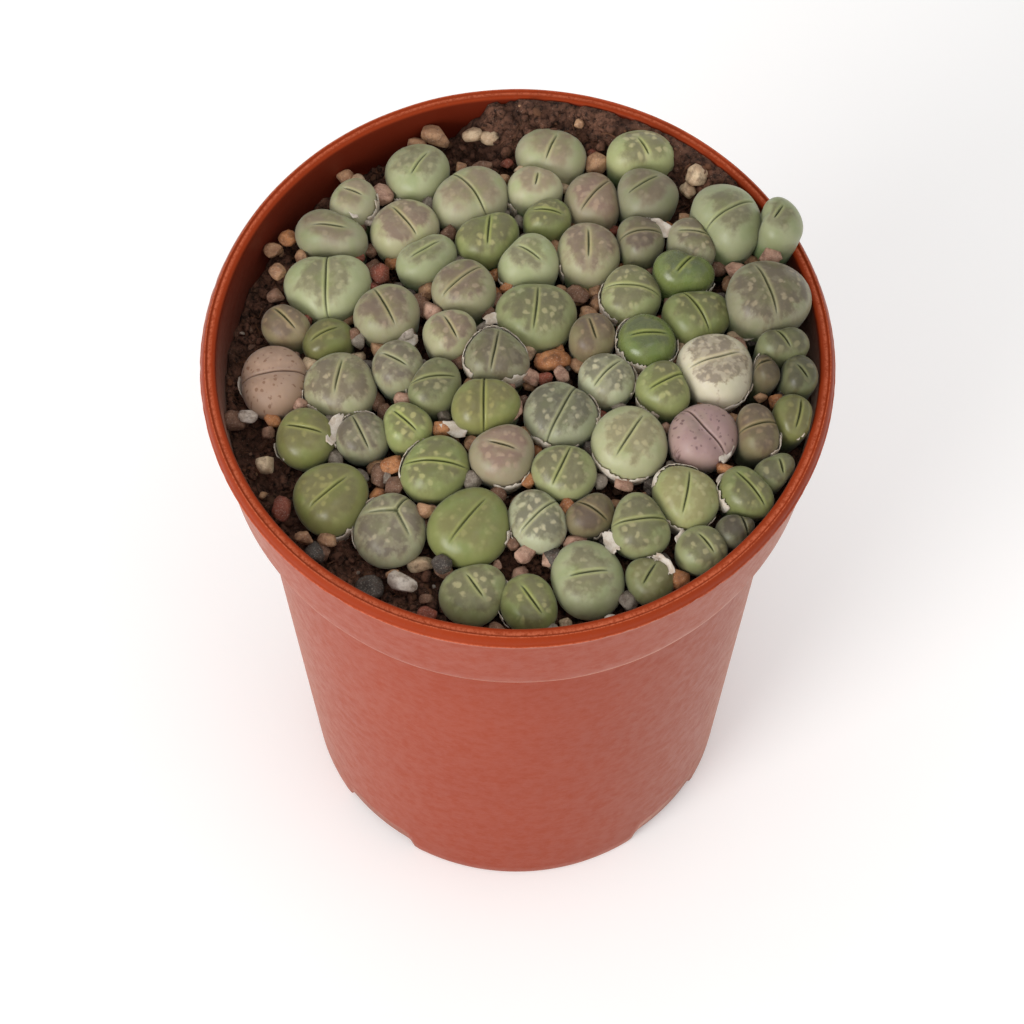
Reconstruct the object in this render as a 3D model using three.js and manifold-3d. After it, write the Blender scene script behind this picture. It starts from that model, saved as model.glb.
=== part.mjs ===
// A plastic nursery pot packed with living-stone plants (lithops).
// Millimetres, +Z up. The origin is the centre of the pot's foot, on the surface it stands on.

import * as THREE from 'three';
import { mergeVertices } from 'three/addons/utils/BufferGeometryUtils.js';
import Module from 'manifold-3d';

const wasm = await Module();
wasm.setup();

// ---------------------------------------------------------------- driving dimensions

const POT = {
  height: 102,
  rimRadius: 42.5,
  collarHeight: 18.4,
  collarBottomRadius: 39.5,
  bodyTopRadius: 36.6,
  baseRadius: 29.3,
  wall: 1.2,
  lipWidth: 2.2,
  lipRound: 0.4,
  footWidth: 2,
  floorRise: 3.2,
  sides: 32,
};

const FOOT_NOTCH = { count: 4, firstAngle: 47.5, bottomWidth: 13, topWidth: 10, height: 3 };
const DRAIN_HOLE = { count: 4, radius: 4, ringRadius: 17, sides: 8 };

// The soil's top, measured down from the rim: highest on the right, sinking to the left and the edge.
const SOIL = { middleDepth: 7.6, slopeToRight: 0.03, edgeDrop: 1.2, rings: 5 };

const GAP = 0.3;           // clearance between two neighbouring pieces
const SWELL = 1.05;        // the plants are full of water, and wider than the tops that show
const HEAD_SIDES = 10;
const OUTLINE_POWER = 2.3; // a head's outline, a little squarer than an ellipse
const MOST_LEAN = 0.24;    // how far a head at the pot's edge leans out, per millimetre of its height
const SLIT = { halfWidth: 0.3, halfDepth: 1.5 };
const CROWN_OVER_MIDDLE = 1.8; // from the middle of the visible top down to the shoulder

// A head's side, from its base up: how far below the top each level is, and its share of the width.
const HEAD_RINGS = [
  { down: Infinity, width: 0.66 },
  { down: 5, width: 0.9 },
  { down: 3.1, width: 1 },
  { down: 1.3, width: 0.87 },
  { down: 0.35, width: 0.54 },
];

const SKIN = {
  green: { color: 0x8a9a63, roughness: 0.5 },
  grey: { color: 0x9a9a84, roughness: 0.55 },
  brown: { color: 0x83755c, roughness: 0.55 },
  pink: { color: 0xa98b7b, roughness: 0.55 },
};

// Every plant, as one head or as two heads grown together. For each head: its place x, y, its width
// along and across the slit, the slit's turn in degrees, and its height over the rim. A head has one
// slit that spans part of its width, unless slits or reach says otherwise.
const PLANTS = [
  // along the back, from the left
  { skin: 'grey', heads: [{ x: -13.5, y: 30.5, along: 8.6, across: 9.4, turn: 58, rise: -2 }] },
  {
    skin: 'grey',
    heads: [
      { x: -25.5, y: 20.5, along: 9.4, across: 9.6, turn: 169, rise: -2 },
      { x: -22.5, y: 26, along: 5.8, across: 6, turn: 150, rise: -2 },
    ],
  },
  { skin: 'grey', heads: [{ x: -6.5, y: 26, along: 9.4, across: 11, turn: 125, rise: -1, reach: 0.85 }] },
  { skin: 'brown', heads: [{ x: 4.5, y: 33, along: 8.4, across: 9.6, turn: 69, rise: -1.5 }] },
  {
    skin: 'grey',
    heads: [
      { x: 2.5, y: 27.5, along: 7.4, across: 7.8, turn: 80, rise: -1 },
      { x: 4, y: 22.5, along: 6.4, across: 6.8, turn: 172, rise: -1 },
    ],
  },
  { skin: 'brown', heads: [{ x: 10.5, y: 25.5, along: 8.2, across: 9, turn: 52, rise: -1 }] },
  { skin: 'grey', heads: [{ x: 17, y: 32, along: 8.4, across: 9.4, turn: 119, rise: 0 }] },
  { skin: 'green', heads: [{ x: 17, y: 26, along: 8.8, across: 9.4, turn: 36, rise: 0.5 }] },

  // behind the middle
  {
    skin: 'grey',
    heads: [
      { x: -15.5, y: 21.5, along: 8.6, across: 9.2, turn: 127, rise: -1.5 },
      { x: -12.5, y: 16.5, along: 8, across: 8.4, turn: 32, rise: -1 },
    ],
  },
  { skin: 'green', heads: [{ x: -4, y: 19.5, along: 8.2, across: 9.4, turn: 86, rise: -0.5 }] },
  { skin: 'green', heads: [{ x: 1.5, y: 15.5, along: 8.2, across: 8.8, turn: 144, rise: 0 }] },
  { skin: 'pink', heads: [{ x: 9.5, y: 17, along: 8.8, across: 9, turn: 90, rise: 0 }] },
  { skin: 'brown', heads: [{ x: 16.5, y: 18.5, along: 6.6, across: 6.8, turn: 7, rise: 0.5 }] },
  {
    skin: 'green',
    heads: [
      { x: 22.5, y: 13, along: 8, across: 9, turn: 51, rise: 1.5 },
      { x: 24.5, y: 18, along: 7.2, across: 7.8, turn: 170, rise: 1 },
    ],
  },
  { skin: 'green', heads: [{ x: 28.5, y: 20.5, along: 9.8, across: 11, turn: 33, rise: 3, reach: 0.8 }] },
  { skin: 'green', heads: [{ x: 35, y: 19.5, along: 7, across: 8, turn: 60, rise: 4 }] },

  // the left side
  { skin: 'green', heads: [{ x: -26, y: 13, along: 10, across: 12, turn: 90, rise: -2 }] },
  { skin: 'brown', heads: [{ x: -18, y: 8, along: 8, across: 8.6, turn: 117, rise: -1 }] },
  {
    skin: 'brown',
    heads: [
      { x: -31.5, y: 7, along: 6, across: 6.4, turn: 131, rise: -3 },
      { x: -26, y: 4.5, along: 7, across: 7, turn: 27, rise: -3 },
    ],
  },
  { skin: 'pink', heads: [{ x: -33, y: -1.5, along: 8.6, across: 10.8, turn: 5, rise: -3, reach: 1.2 }] },
  { skin: 'grey', heads: [{ x: -24, y: -2.5, along: 9.2, across: 10.2, turn: 79, rise: -2 }] },
  { skin: 'green', heads: [{ x: -28.5, y: -10, along: 7.4, across: 8.8, turn: 163, rise: -3 }] },
  {
    skin: 'grey',
    heads: [
      { x: -21, y: -10.5, along: 6.4, across: 6.8, turn: 115, rise: -2.5 },
      { x: -15, y: -9.5, along: 7, across: 7.4, turn: 136, rise: -1.5 },
    ],
  },

  // the middle
  { skin: 'brown', heads: [{ x: -7.5, y: 11.5, along: 8, across: 8.8, turn: 40, rise: 0 }] },
  { skin: 'grey', heads: [{ x: 2.5, y: 7, along: 9.6, across: 10.8, turn: 85, rise: 0.5 }] },
  { skin: 'green', heads: [{ x: 15.5, y: 10, along: 7.6, across: 8.8, turn: 173, rise: 0.5 }] },
  { skin: 'green', heads: [{ x: 24, y: 6.5, along: 8.4, across: 9.8, turn: 123, rise: 1 }] },
  { skin: 'grey', heads: [{ x: 34, y: 8.5, along: 10.4, across: 12, turn: 111, rise: 3 }] },
  {
    skin: 'grey',
    heads: [
      { x: -16.5, y: -0.5, along: 6.4, across: 7.2, turn: 148, rise: -1 },
      { x: -11.5, y: -3.5, along: 7.6, across: 8.2, turn: 8, rise: -0.5 },
    ],
  },
  { skin: 'green', heads: [{ x: -9, y: 4, along: 7, across: 7.4, turn: 118, rise: 0 }] },
  { skin: 'brown', heads: [{ x: -3, y: 0.5, along: 7.8, across: 9, turn: 80, rise: 0.5 }] },
  {
    skin: 'grey',
    heads: [
      { x: 12, y: -3, along: 7, across: 7.4, turn: 47, rise: 0.5 },
      { x: 10, y: 3.5, along: 6, across: 6.2, turn: 107, rise: 0.5 },
    ],
  },
  { skin: 'green', heads: [{ x: 17.5, y: 2.5, along: 7.8, across: 8, turn: 4, rise: 1, reach: 0.8 }] },
  { skin: 'green', heads: [{ x: 20, y: -4.5, along: 7.6, across: 8, turn: 32, rise: 1, reach: 0.85 }] },
  { skin: 'grey', heads: [{ x: 26.5, y: -1.5, along: 10.2, across: 11.2, turn: 21, rise: 1.5 }] },
  { skin: 'brown', heads: [{ x: 32.5, y: -2, along: 5, across: 5.8, turn: 28, rise: 1 }] },
  {
    skin: 'grey',
    heads: [
      { x: 35.5, y: 1.5, along: 7, across: 7.4, turn: 129, rise: 1.5 },
      { x: 38, y: -3, along: 4.8, across: 5.4, turn: 128, rise: 0.5 },
    ],
  },
  { skin: 'green', heads: [{ x: -4.5, y: -7, along: 7.8, across: 9.4, turn: 90, rise: 0.5, reach: 1.2 }] },
  { skin: 'grey', heads: [{ x: 6, y: -8.5, along: 8.8, across: 10, turn: 64, rise: 0.5, reach: 1.2 }] },
  { skin: 'green', heads: [{ x: 15, y: -12.5, along: 9.8, across: 10.4, turn: 59, rise: 0.5 }] },
  { skin: 'pink', heads: [{ x: 25, y: -11.5, along: 8.8, across: 9.8, turn: 131, rise: 0.5, reach: 1.2 }] },
  {
    skin: 'brown',
    heads: [
      { x: 32, y: -11, along: 6, across: 7.4, turn: 17, rise: 0.5 },
      { x: 37.5, y: -9, along: 6.4, across: 6.4, turn: 80, rise: 0 },
    ],
  },

  // along the front, from the left
  { skin: 'green', heads: [{ x: -25, y: -19.5, along: 9.4, across: 10.2, turn: 39, rise: -3 }] },
  {
    skin: 'grey',
    heads: [
      { x: -17, y: -24, along: 9.8, across: 9.8, turn: 0, rise: -3, slits: [177, 58, 298], reach: 0.85 },
    ],
  },
  { skin: 'green', heads: [{ x: -11, y: -16, along: 9, across: 9.6, turn: 175, rise: -1, reach: 0.9 }] },
  { skin: 'pink', heads: [{ x: -2, y: -14, along: 8.6, across: 8.8, turn: 162, rise: 0 }] },
  { skin: 'green', heads: [{ x: -6.5, y: -24, along: 11, across: 11.4, turn: 51, rise: -2 }] },
  { skin: 'grey', heads: [{ x: 6, y: -16.5, along: 8, across: 9, turn: 66, rise: -0.5 }] },
  {
    skin: 'brown',
    heads: [
      { x: 3, y: -23, along: 8.4, across: 8.8, turn: 43, rise: -2 },
      { x: 10, y: -22.5, along: 5.6, across: 6, turn: 148, rise: -2 },
    ],
  },
  { skin: 'green', heads: [{ x: 22.5, y: -20.5, along: 8.2, across: 8.8, turn: 81, rise: -0.5 }] },
  {
    skin: 'green',
    heads: [
      { x: 31, y: -20, along: 7.4, across: 8, turn: 130, rise: -0.5 },
      { x: 35, y: -16.5, along: 4.6, across: 5.2, turn: 105, rise: -1 },
    ],
  },
  { skin: 'green', heads: [{ x: 16.5, y: -24.5, along: 7.8, across: 8.6, turn: 8, rise: -1 }] },
  {
    skin: 'grey',
    heads: [
      { x: 25, y: -27.5, along: 7.4, across: 7.4, turn: 130, rise: -2 },
      { x: 30, y: -24.5, along: 5.4, across: 6, turn: 114, rise: -2 },
    ],
  },
  {
    skin: 'green',
    heads: [
      { x: -5.5, y: -33, along: 8.4, across: 9.4, turn: 125, rise: -4, reach: 0.85 },
      { x: 2, y: -35, along: 7.4, across: 7.6, turn: 126, rise: -4 },
    ],
  },
  { skin: 'green', heads: [{ x: 9.5, y: -31.5, along: 9.2, across: 10.6, turn: 9, rise: -3 }] },
  { skin: 'brown', heads: [{ x: 17.5, y: -31.5, along: 6.4, across: 6.8, turn: 60, rise: -3 }] },
];

const STONES = [
  { name: 'stone_tan', x: 4.7, y: 0.6, length: 5, width: 3, height: 6.5, turn: 10, color: 0xb98a62 },
  { name: 'stone_dark_grey', x: -19.5, y: -31, length: 4, width: 3.2, height: 3, turn: 20, color: 0x5d5a55 },
];

// ---------------------------------------------------------------- solids and meshes

function toSolid(geometry) {
  const bare = geometry.clone();
  bare.deleteAttribute('normal');
  bare.deleteAttribute('uv');
  const merged = mergeVertices(bare, 1e-4);
  return new wasm.Manifold(new wasm.Mesh({
    numProp: 3,
    vertProperties: new Float32Array(merged.attributes.position.array),
    triVerts: new Uint32Array(merged.index.array),
  }));
}

function toGeometry(solid) {
  const mesh = solid.getMesh();
  const geometry = new THREE.BufferGeometry();
  geometry.setAttribute('position', new THREE.BufferAttribute(mesh.vertProperties, 3));
  geometry.setIndex(new THREE.BufferAttribute(mesh.triVerts, 1));
  geometry.computeVertexNormals();
  return geometry;
}

function namedMesh(name, geometry, look) {
  const material = new THREE.MeshStandardMaterial({ metalness: 0, ...look });
  const mesh = new THREE.Mesh(geometry, material);
  mesh.name = name;
  return mesh;
}

// Closed skin over rings of points, each ring with the same number of points, with a point in the
// middle of the first ring and one in the middle of the last.
function loftGeometry(rings, bottomMiddle, topMiddle) {
  const sides = rings[0].length;
  const points = [bottomMiddle, ...rings.flat(), topMiddle];
  const at = (ring, side) => 1 + ring * sides + (side % sides);
  const last = points.length - 1;
  const index = [];
  for (let side = 0; side < sides; side += 1) {
    index.push(0, at(0, side + 1), at(0, side));
    for (let ring = 0; ring + 1 < rings.length; ring += 1) {
      index.push(at(ring, side), at(ring, side + 1), at(ring + 1, side + 1));
      index.push(at(ring, side), at(ring + 1, side + 1), at(ring + 1, side));
    }
    index.push(last, at(rings.length - 1, side), at(rings.length - 1, side + 1));
  }
  const geometry = new THREE.BufferGeometry().setFromPoints(points);
  geometry.setIndex(index);
  return geometry;
}

// ---------------------------------------------------------------- pot

const collarBottom = POT.height - POT.collarHeight;
const lipInnerRadius = POT.rimRadius - POT.lipWidth;
const floorTop = POT.floorRise + POT.wall;

function potProfile() {
  const foot = POT.baseRadius - POT.footWidth;
  return [
    [0, POT.floorRise],
    [foot, POT.floorRise],
    [foot, 0],
    [POT.baseRadius, 0],
    [POT.bodyTopRadius, collarBottom],
    [POT.collarBottomRadius, collarBottom],
    [POT.rimRadius, POT.height - 2 * POT.lipRound],
    [POT.rimRadius - POT.lipRound, POT.height],
    [lipInnerRadius, POT.height],
    [POT.collarBottomRadius - POT.wall, collarBottom + POT.wall],
    [POT.bodyTopRadius - POT.wall, collarBottom - POT.wall],
    [POT.baseRadius - POT.wall, floorTop],
    [0, floorTop],
  ].map(([radius, height]) => new THREE.Vector2(radius, height));
}

function latheSolid(profile, sides) {
  const geometry = new THREE.LatheGeometry(profile, sides);
  geometry.rotateX(Math.PI / 2);
  return toSolid(geometry);
}

// A wedge that opens the foot ring, lying along +X from the axis.
function footNotch() {
  const { bottomWidth, topWidth, height } = FOOT_NOTCH;
  const below = 1;
  const shape = new THREE.Shape([
    new THREE.Vector2(-bottomWidth / 2, -below),
    new THREE.Vector2(bottomWidth / 2, -below),
    new THREE.Vector2(bottomWidth / 2, 0),
    new THREE.Vector2(topWidth / 2, height),
    new THREE.Vector2(-topWidth / 2, height),
    new THREE.Vector2(-bottomWidth / 2, 0),
  ]);
  const length = 3 * POT.footWidth;
  const notch = new THREE.ExtrudeGeometry(shape, { depth: length, bevelEnabled: false });
  notch.rotateX(Math.PI / 2);
  notch.rotateZ(Math.PI / 2);
  notch.translate(POT.baseRadius - 2 * POT.footWidth, 0, 0);
  return notch;
}

function drainHole() {
  const { radius, ringRadius, sides } = DRAIN_HOLE;
  const hole = new THREE.CylinderGeometry(radius, radius, 4 * POT.wall, sides);
  hole.rotateX(Math.PI / 2);
  hole.translate(ringRadius, 0, POT.floorRise + POT.wall / 2);
  return hole;
}

function cutAround(solid, makeTool, count, firstAngle) {
  let left = solid;
  for (let i = 0; i < count; i += 1) {
    const angle = firstAngle + (360 / count) * i;
    left = left.subtract(toSolid(makeTool().rotateZ(THREE.MathUtils.degToRad(angle))));
  }
  return left;
}

function potMesh() {
  let pot = latheSolid(potProfile(), POT.sides);
  pot = cutAround(pot, footNotch, FOOT_NOTCH.count, FOOT_NOTCH.firstAngle);
  pot = cutAround(pot, drainHole, DRAIN_HOLE.count, 0);
  return namedMesh('nursery_pot', toGeometry(pot), { color: 0xa85a3c, roughness: 0.5 });
}

// ---------------------------------------------------------------- soil

// Radius of the pot's inner wall at a height within the collar.
function innerWallRadius(height) {
  const low = collarBottom + POT.wall;
  const share = (height - low) / (POT.height - low);
  return THREE.MathUtils.lerp(POT.collarBottomRadius - POT.wall, lipInnerRadius, share);
}

function soilTop(x, y) {
  const fromMiddle = Math.hypot(x, y) / POT.rimRadius;
  const depth = SOIL.middleDepth - SOIL.slopeToRight * x + SOIL.edgeDrop * fromMiddle ** 2;
  return POT.height - depth;
}

// Where the underside of a thing that stands on the soil lies.
function standingHeight(x, y) {
  return soilTop(x, y) + 1.3 * GAP;
}

function soilMesh() {
  const edge = innerWallRadius(soilTop(-POT.rimRadius, 0)) - GAP;
  const circle = (radius, heightAt) => Array.from({ length: POT.sides }, (unused, side) => {
    const angle = (2 * Math.PI * side) / POT.sides;
    const x = radius * Math.cos(angle);
    const y = radius * Math.sin(angle);
    return new THREE.Vector3(x, y, heightAt(x, y));
  });
  const level = (height) => () => height;
  const rings = [
    circle(POT.baseRadius - POT.wall - GAP, level(floorTop + GAP)),
    circle(POT.bodyTopRadius - POT.wall - GAP, level(collarBottom - POT.wall)),
    circle(POT.collarBottomRadius - POT.wall - GAP, level(collarBottom + POT.wall + GAP)),
  ];
  for (let ring = SOIL.rings; ring > 0; ring -= 1) {
    rings.push(circle((edge * ring) / SOIL.rings, soilTop));
  }
  const bottomMiddle = new THREE.Vector3(0, 0, floorTop + GAP);
  const topMiddle = new THREE.Vector3(0, 0, soilTop(0, 0));
  const geometry = loftGeometry(rings, bottomMiddle, topMiddle);
  return namedMesh('soil', geometry, { color: 0x4a3527, roughness: 0.95 });
}

// ---------------------------------------------------------------- plants and stones

// Everything that stands on the soil takes its share of the room. The line between two neighbours
// lies where their circles would meet, so each keeps to its own side of it.
const occupants = [];
PLANTS.forEach((plant, index) => {
  plant.heads.forEach((head) => {
    occupants.push({ ...head, owner: index, radius: (SWELL * (head.along + head.across)) / 4 });
  });
});
STONES.forEach((stone) => {
  occupants.push({ ...stone, owner: stone.name, radius: (stone.length + stone.width) / 4 });
});

function findOccupant(x, y) {
  return occupants.find((other) => other.x === x && other.y === y);
}

// How far a piece may reach from the point x, y at a height, in the direction of an angle.
function roomAround(self, x, y, height, angle) {
  const dirX = Math.cos(angle);
  const dirY = Math.sin(angle);
  let room = Infinity;
  occupants.filter((other) => other !== self).forEach((other) => {
    const distance = Math.hypot(other.x - self.x, other.y - self.y);
    const toX = (other.x - self.x) / distance;
    const toY = (other.y - self.y) / distance;
    const share = distance / 2 + (self.radius ** 2 - other.radius ** 2) / (2 * distance);
    const clearance = other.owner === self.owner ? -GAP : GAP / 2 + 0.02;
    const ahead = share - clearance - ((x - self.x) * toX + (y - self.y) * toY);
    const facing = dirX * toX + dirY * toY;
    if (facing > 0.02) room = Math.min(room, Math.max(ahead, 0.3) / facing);
  });
  const overLip = Math.max(0, height - POT.height - 1.5);
  const flatToFlat = Math.cos(Math.PI / POT.sides);
  const wall = innerWallRadius(Math.min(height, POT.height)) * flatToFlat - 1.1 * GAP + 2 * overLip;
  const along = x * dirX + y * dirY;
  return Math.min(room, Math.sqrt(wall ** 2 - x ** 2 - y ** 2 + along ** 2) - along);
}

function outlineRadius(head, angle) {
  const fromSlit = angle - THREE.MathUtils.degToRad(head.turn);
  const along = Math.abs(Math.cos(fromSlit)) / (head.along / 2);
  const across = Math.abs(Math.sin(fromSlit)) / (head.across / 2);
  return SWELL * (along ** OUTLINE_POWER + across ** OUTLINE_POWER) ** (-1 / OUTLINE_POWER);
}

// One head: a stubby cone that swells to its shoulder, with a low domed top.
function headSolid(head) {
  const self = findOccupant(head.x, head.y);
  const top = POT.height + head.rise + CROWN_OVER_MIDDLE;
  const fromMiddle = Math.hypot(head.x, head.y);
  const lean = (MOST_LEAN * fromMiddle) / POT.rimRadius;
  const outX = head.x / fromMiddle;
  const outY = head.y / fromMiddle;
  const baseDown = top - soilTop(head.x, head.y);
  const middleAt = (down) => [head.x - outX * lean * down, head.y - outY * lean * down];
  const rings = HEAD_RINGS.map(({ down, width }) => {
    const isBase = down === Infinity;
    const ringDown = isBase ? baseDown : down;
    const [middleX, middleY] = middleAt(ringDown);
    return Array.from({ length: HEAD_SIDES }, (unused, side) => {
      const angle = (2 * Math.PI * side) / HEAD_SIDES;
      const room = roomAround(self, middleX, middleY, top - ringDown, angle);
      const radius = Math.min(width * outlineRadius(head, angle), room * Math.min(1, width * 1.1));
      const x = middleX + radius * Math.cos(angle);
      const y = middleY + radius * Math.sin(angle);
      const outward = radius * (Math.cos(angle) * outX + Math.sin(angle) * outY);
      return new THREE.Vector3(x, y, isBase ? standingHeight(x, y) : top - down - lean * outward);
    });
  });
  const [baseX, baseY] = middleAt(baseDown);
  const bottomMiddle = new THREE.Vector3(baseX, baseY, standingHeight(baseX, baseY));
  const topMiddle = new THREE.Vector3(head.x, head.y, top);
  let solid = toSolid(loftGeometry(rings, bottomMiddle, topMiddle));
  slitGeometries(head, top).forEach((slit) => {
    solid = solid.subtract(toSolid(slit));
  });
  return solid;
}

// The slit between a head's leaves: one across the middle, or one to the edge for each turn in slits.
function slitGeometries(head, top) {
  const reach = head.reach ?? 0.55;
  const turns = head.slits ?? [head.turn];
  return turns.map((turn) => {
    const half = head.slits ? (reach * head.along) / 4 : (reach * head.along) / 2;
    const slit = new THREE.OctahedronGeometry(1);
    slit.scale(half, SLIT.halfWidth, SLIT.halfDepth);
    if (head.slits) slit.translate(half * 0.9, 0, 0);
    slit.rotateZ(THREE.MathUtils.degToRad(turn));
    slit.translate(head.x, head.y, top);
    return slit;
  });
}

// The short shared stem that joins the two heads of one plant, just above the soil.
function sharedStem([first, second]) {
  const length = 0.6 * Math.hypot(second.x - first.x, second.y - first.y);
  const stem = new THREE.CylinderGeometry(1, 1, length, 8);
  stem.rotateZ(Math.PI / 2);
  stem.rotateZ(Math.atan2(second.y - first.y, second.x - first.x));
  const middleX = (first.x + second.x) / 2;
  const middleY = (first.y + second.y) / 2;
  stem.translate(middleX, middleY, soilTop(middleX, middleY) + 2);
  return toSolid(stem);
}

function plantMesh(plant, index) {
  let solid = headSolid(plant.heads[0]);
  if (plant.heads.length === 2) {
    solid = solid.add(headSolid(plant.heads[1])).add(sharedStem(plant.heads));
  }
  const number = String(index + 1).padStart(2, '0');
  return namedMesh(`lithops_${number}`, toGeometry(solid), SKIN[plant.skin]);
}

// A rounded stone that stands on the soil, flattened where a plant presses on it.
function stoneMesh(stone) {
  const self = findOccupant(stone.x, stone.y);
  const bottom = standingHeight(stone.x, stone.y);
  const body = new THREE.IcosahedronGeometry(1, 1);
  body.scale(stone.length / 2, stone.width / 2, stone.height / 2);
  body.rotateZ(THREE.MathUtils.degToRad(stone.turn));
  const points = body.attributes.position;
  for (let i = 0; i < points.count; i += 1) {
    const x = points.getX(i);
    const y = points.getY(i);
    const height = bottom + stone.height / 2 + points.getZ(i);
    const room = roomAround(self, stone.x, stone.y, height, Math.atan2(y, x));
    const shrink = Math.min(1, room / Math.max(Math.hypot(x, y), 1e-6));
    points.setXYZ(i, stone.x + x * shrink, stone.y + y * shrink, height);
  }
  return namedMesh(stone.name, toGeometry(toSolid(body)), { color: stone.color, roughness: 0.85 });
}

// ---------------------------------------------------------------- the whole object

const pottedLithops = new THREE.Group();
pottedLithops.name = 'potted_lithops';
pottedLithops.add(potMesh());
pottedLithops.add(soilMesh());
PLANTS.forEach((plant, index) => pottedLithops.add(plantMesh(plant, index)));
STONES.forEach((stone) => pottedLithops.add(stoneMesh(stone)));

export default pottedLithops;
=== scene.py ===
"""Looks of a plastic nursery pot packed with lithops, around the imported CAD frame.

Shapes are worked out in millimetres and turned into metres when a mesh is made.
"""
import math
import random

import bmesh
import bpy
import numpy as np
from mathutils import Euler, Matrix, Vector, noise
from mathutils.bvhtree import BVHTree


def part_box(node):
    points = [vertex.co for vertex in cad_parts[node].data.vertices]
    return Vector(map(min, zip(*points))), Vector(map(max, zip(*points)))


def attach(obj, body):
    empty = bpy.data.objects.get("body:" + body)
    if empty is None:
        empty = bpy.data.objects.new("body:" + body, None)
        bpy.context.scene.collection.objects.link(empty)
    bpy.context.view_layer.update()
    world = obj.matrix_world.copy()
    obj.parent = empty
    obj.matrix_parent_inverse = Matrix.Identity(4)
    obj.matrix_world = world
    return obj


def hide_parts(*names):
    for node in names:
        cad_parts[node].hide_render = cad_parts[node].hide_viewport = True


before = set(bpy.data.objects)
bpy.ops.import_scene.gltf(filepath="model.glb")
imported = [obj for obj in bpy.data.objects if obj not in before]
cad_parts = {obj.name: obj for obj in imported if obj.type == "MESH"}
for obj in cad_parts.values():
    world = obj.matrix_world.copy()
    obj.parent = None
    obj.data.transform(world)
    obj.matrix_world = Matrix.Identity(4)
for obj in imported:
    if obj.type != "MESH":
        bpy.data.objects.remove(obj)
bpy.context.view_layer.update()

MM = 0.001

# ---------------------------------------------------------------- sizes, in millimetres

pot_low, pot_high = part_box("nursery_pot")
RIM_RADIUS = (pot_high.x - pot_low.x) / 2 / MM
POT_HEIGHT = pot_high.z / MM
COLLAR_HEIGHT = 18.4
COLLAR_BOTTOM_RADIUS = RIM_RADIUS - 3
BODY_TOP_RADIUS = RIM_RADIUS - 5.9
BASE_RADIUS = RIM_RADIUS - 13.2
WALL = 1.2
LIP_WIDTH = 2.2
FLOOR_RISE = 3.2
FOOT_WIDTH = 2
NOTCH_ANGLES = (47.5, 137.5, 227.5, 317.5)
NOTCH_HALF_ANGLES = (13, 10)  # at the floor, and at the notch's top
NOTCH_HEIGHT = 3
DRAIN_HOLES = 4
DRAIN_RADIUS = 4
DRAIN_RING_RADIUS = 17
FLASH_BELOW_RIM = 1.9    # the ragged moulding line round the outside of the lip
POT_SEGMENTS = 288

COLLAR_BOTTOM = POT_HEIGHT - COLLAR_HEIGHT
LIP_INNER_RADIUS = RIM_RADIUS - LIP_WIDTH

# ---------------------------------------------------------------- small helpers


def rgb(red, green, blue):
    """A colour given as it is seen on a screen, 0 to 255, as linear RGBA."""
    parts = []
    for value in (red, green, blue):
        share = value / 255
        parts.append(share / 12.92 if share <= 0.04045 else ((share + 0.055) / 1.055) ** 2.4)
    return (*parts, 1.0)


def make_object(name, points, faces, material, smooth=True):
    """A mesh object from points in millimetres."""
    mesh = bpy.data.meshes.new(name)
    mesh.from_pydata((np.asarray(points, float) * MM).tolist(), [], faces)
    if len(faces) > 1:
        shape = bmesh.new()
        shape.from_mesh(mesh)
        bmesh.ops.recalc_face_normals(shape, faces=shape.faces)
        shape.to_mesh(mesh)
        shape.free()
    mesh.update()
    mesh.polygons.foreach_set("use_smooth", [smooth] * len(mesh.polygons))
    mesh.materials.append(material)
    piece = bpy.data.objects.new(name, mesh)
    bpy.context.scene.collection.objects.link(piece)
    return piece


def add_vectors(piece, name, values):
    attribute = piece.data.attributes.new(name, "FLOAT_VECTOR", "POINT")
    attribute.data.foreach_set("vector", np.asarray(values, np.float32).ravel())


def smooth_step(low, high, value):
    share = np.clip((value - low) / (high - low), 0, 1)
    return share * share * (3 - 2 * share)


def grid_faces(rows, columns, closed=True):
    """Quads of a grid of points, row after row, with the columns joined in a ring if closed."""
    faces = []
    for row in range(rows - 1):
        for column in range(columns if closed else columns - 1):
            after = (column + 1) % columns
            here = row * columns
            above = here + columns
            faces.append((here + column, here + after, above + after, above + column))
    return faces


def sheet_faces(rows, columns):
    """Faces of a thin closed sheet: its first side, its second side and the strip between them."""
    count = rows * columns
    grid = grid_faces(rows, columns, closed=False)
    back = [tuple(corner + count for corner in reversed(face)) for face in grid]
    border = list(range(columns))
    border += [row * columns + columns - 1 for row in range(1, rows)]
    border += [(rows - 1) * columns + column for column in range(columns - 2, -1, -1)]
    border += [row * columns for row in range(rows - 2, 0, -1)]
    strip = []
    for place, here in enumerate(border):
        after = border[(place + 1) % len(border)]
        strip.append((after, here, here + count, after + count))
    return grid + back + strip


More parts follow.
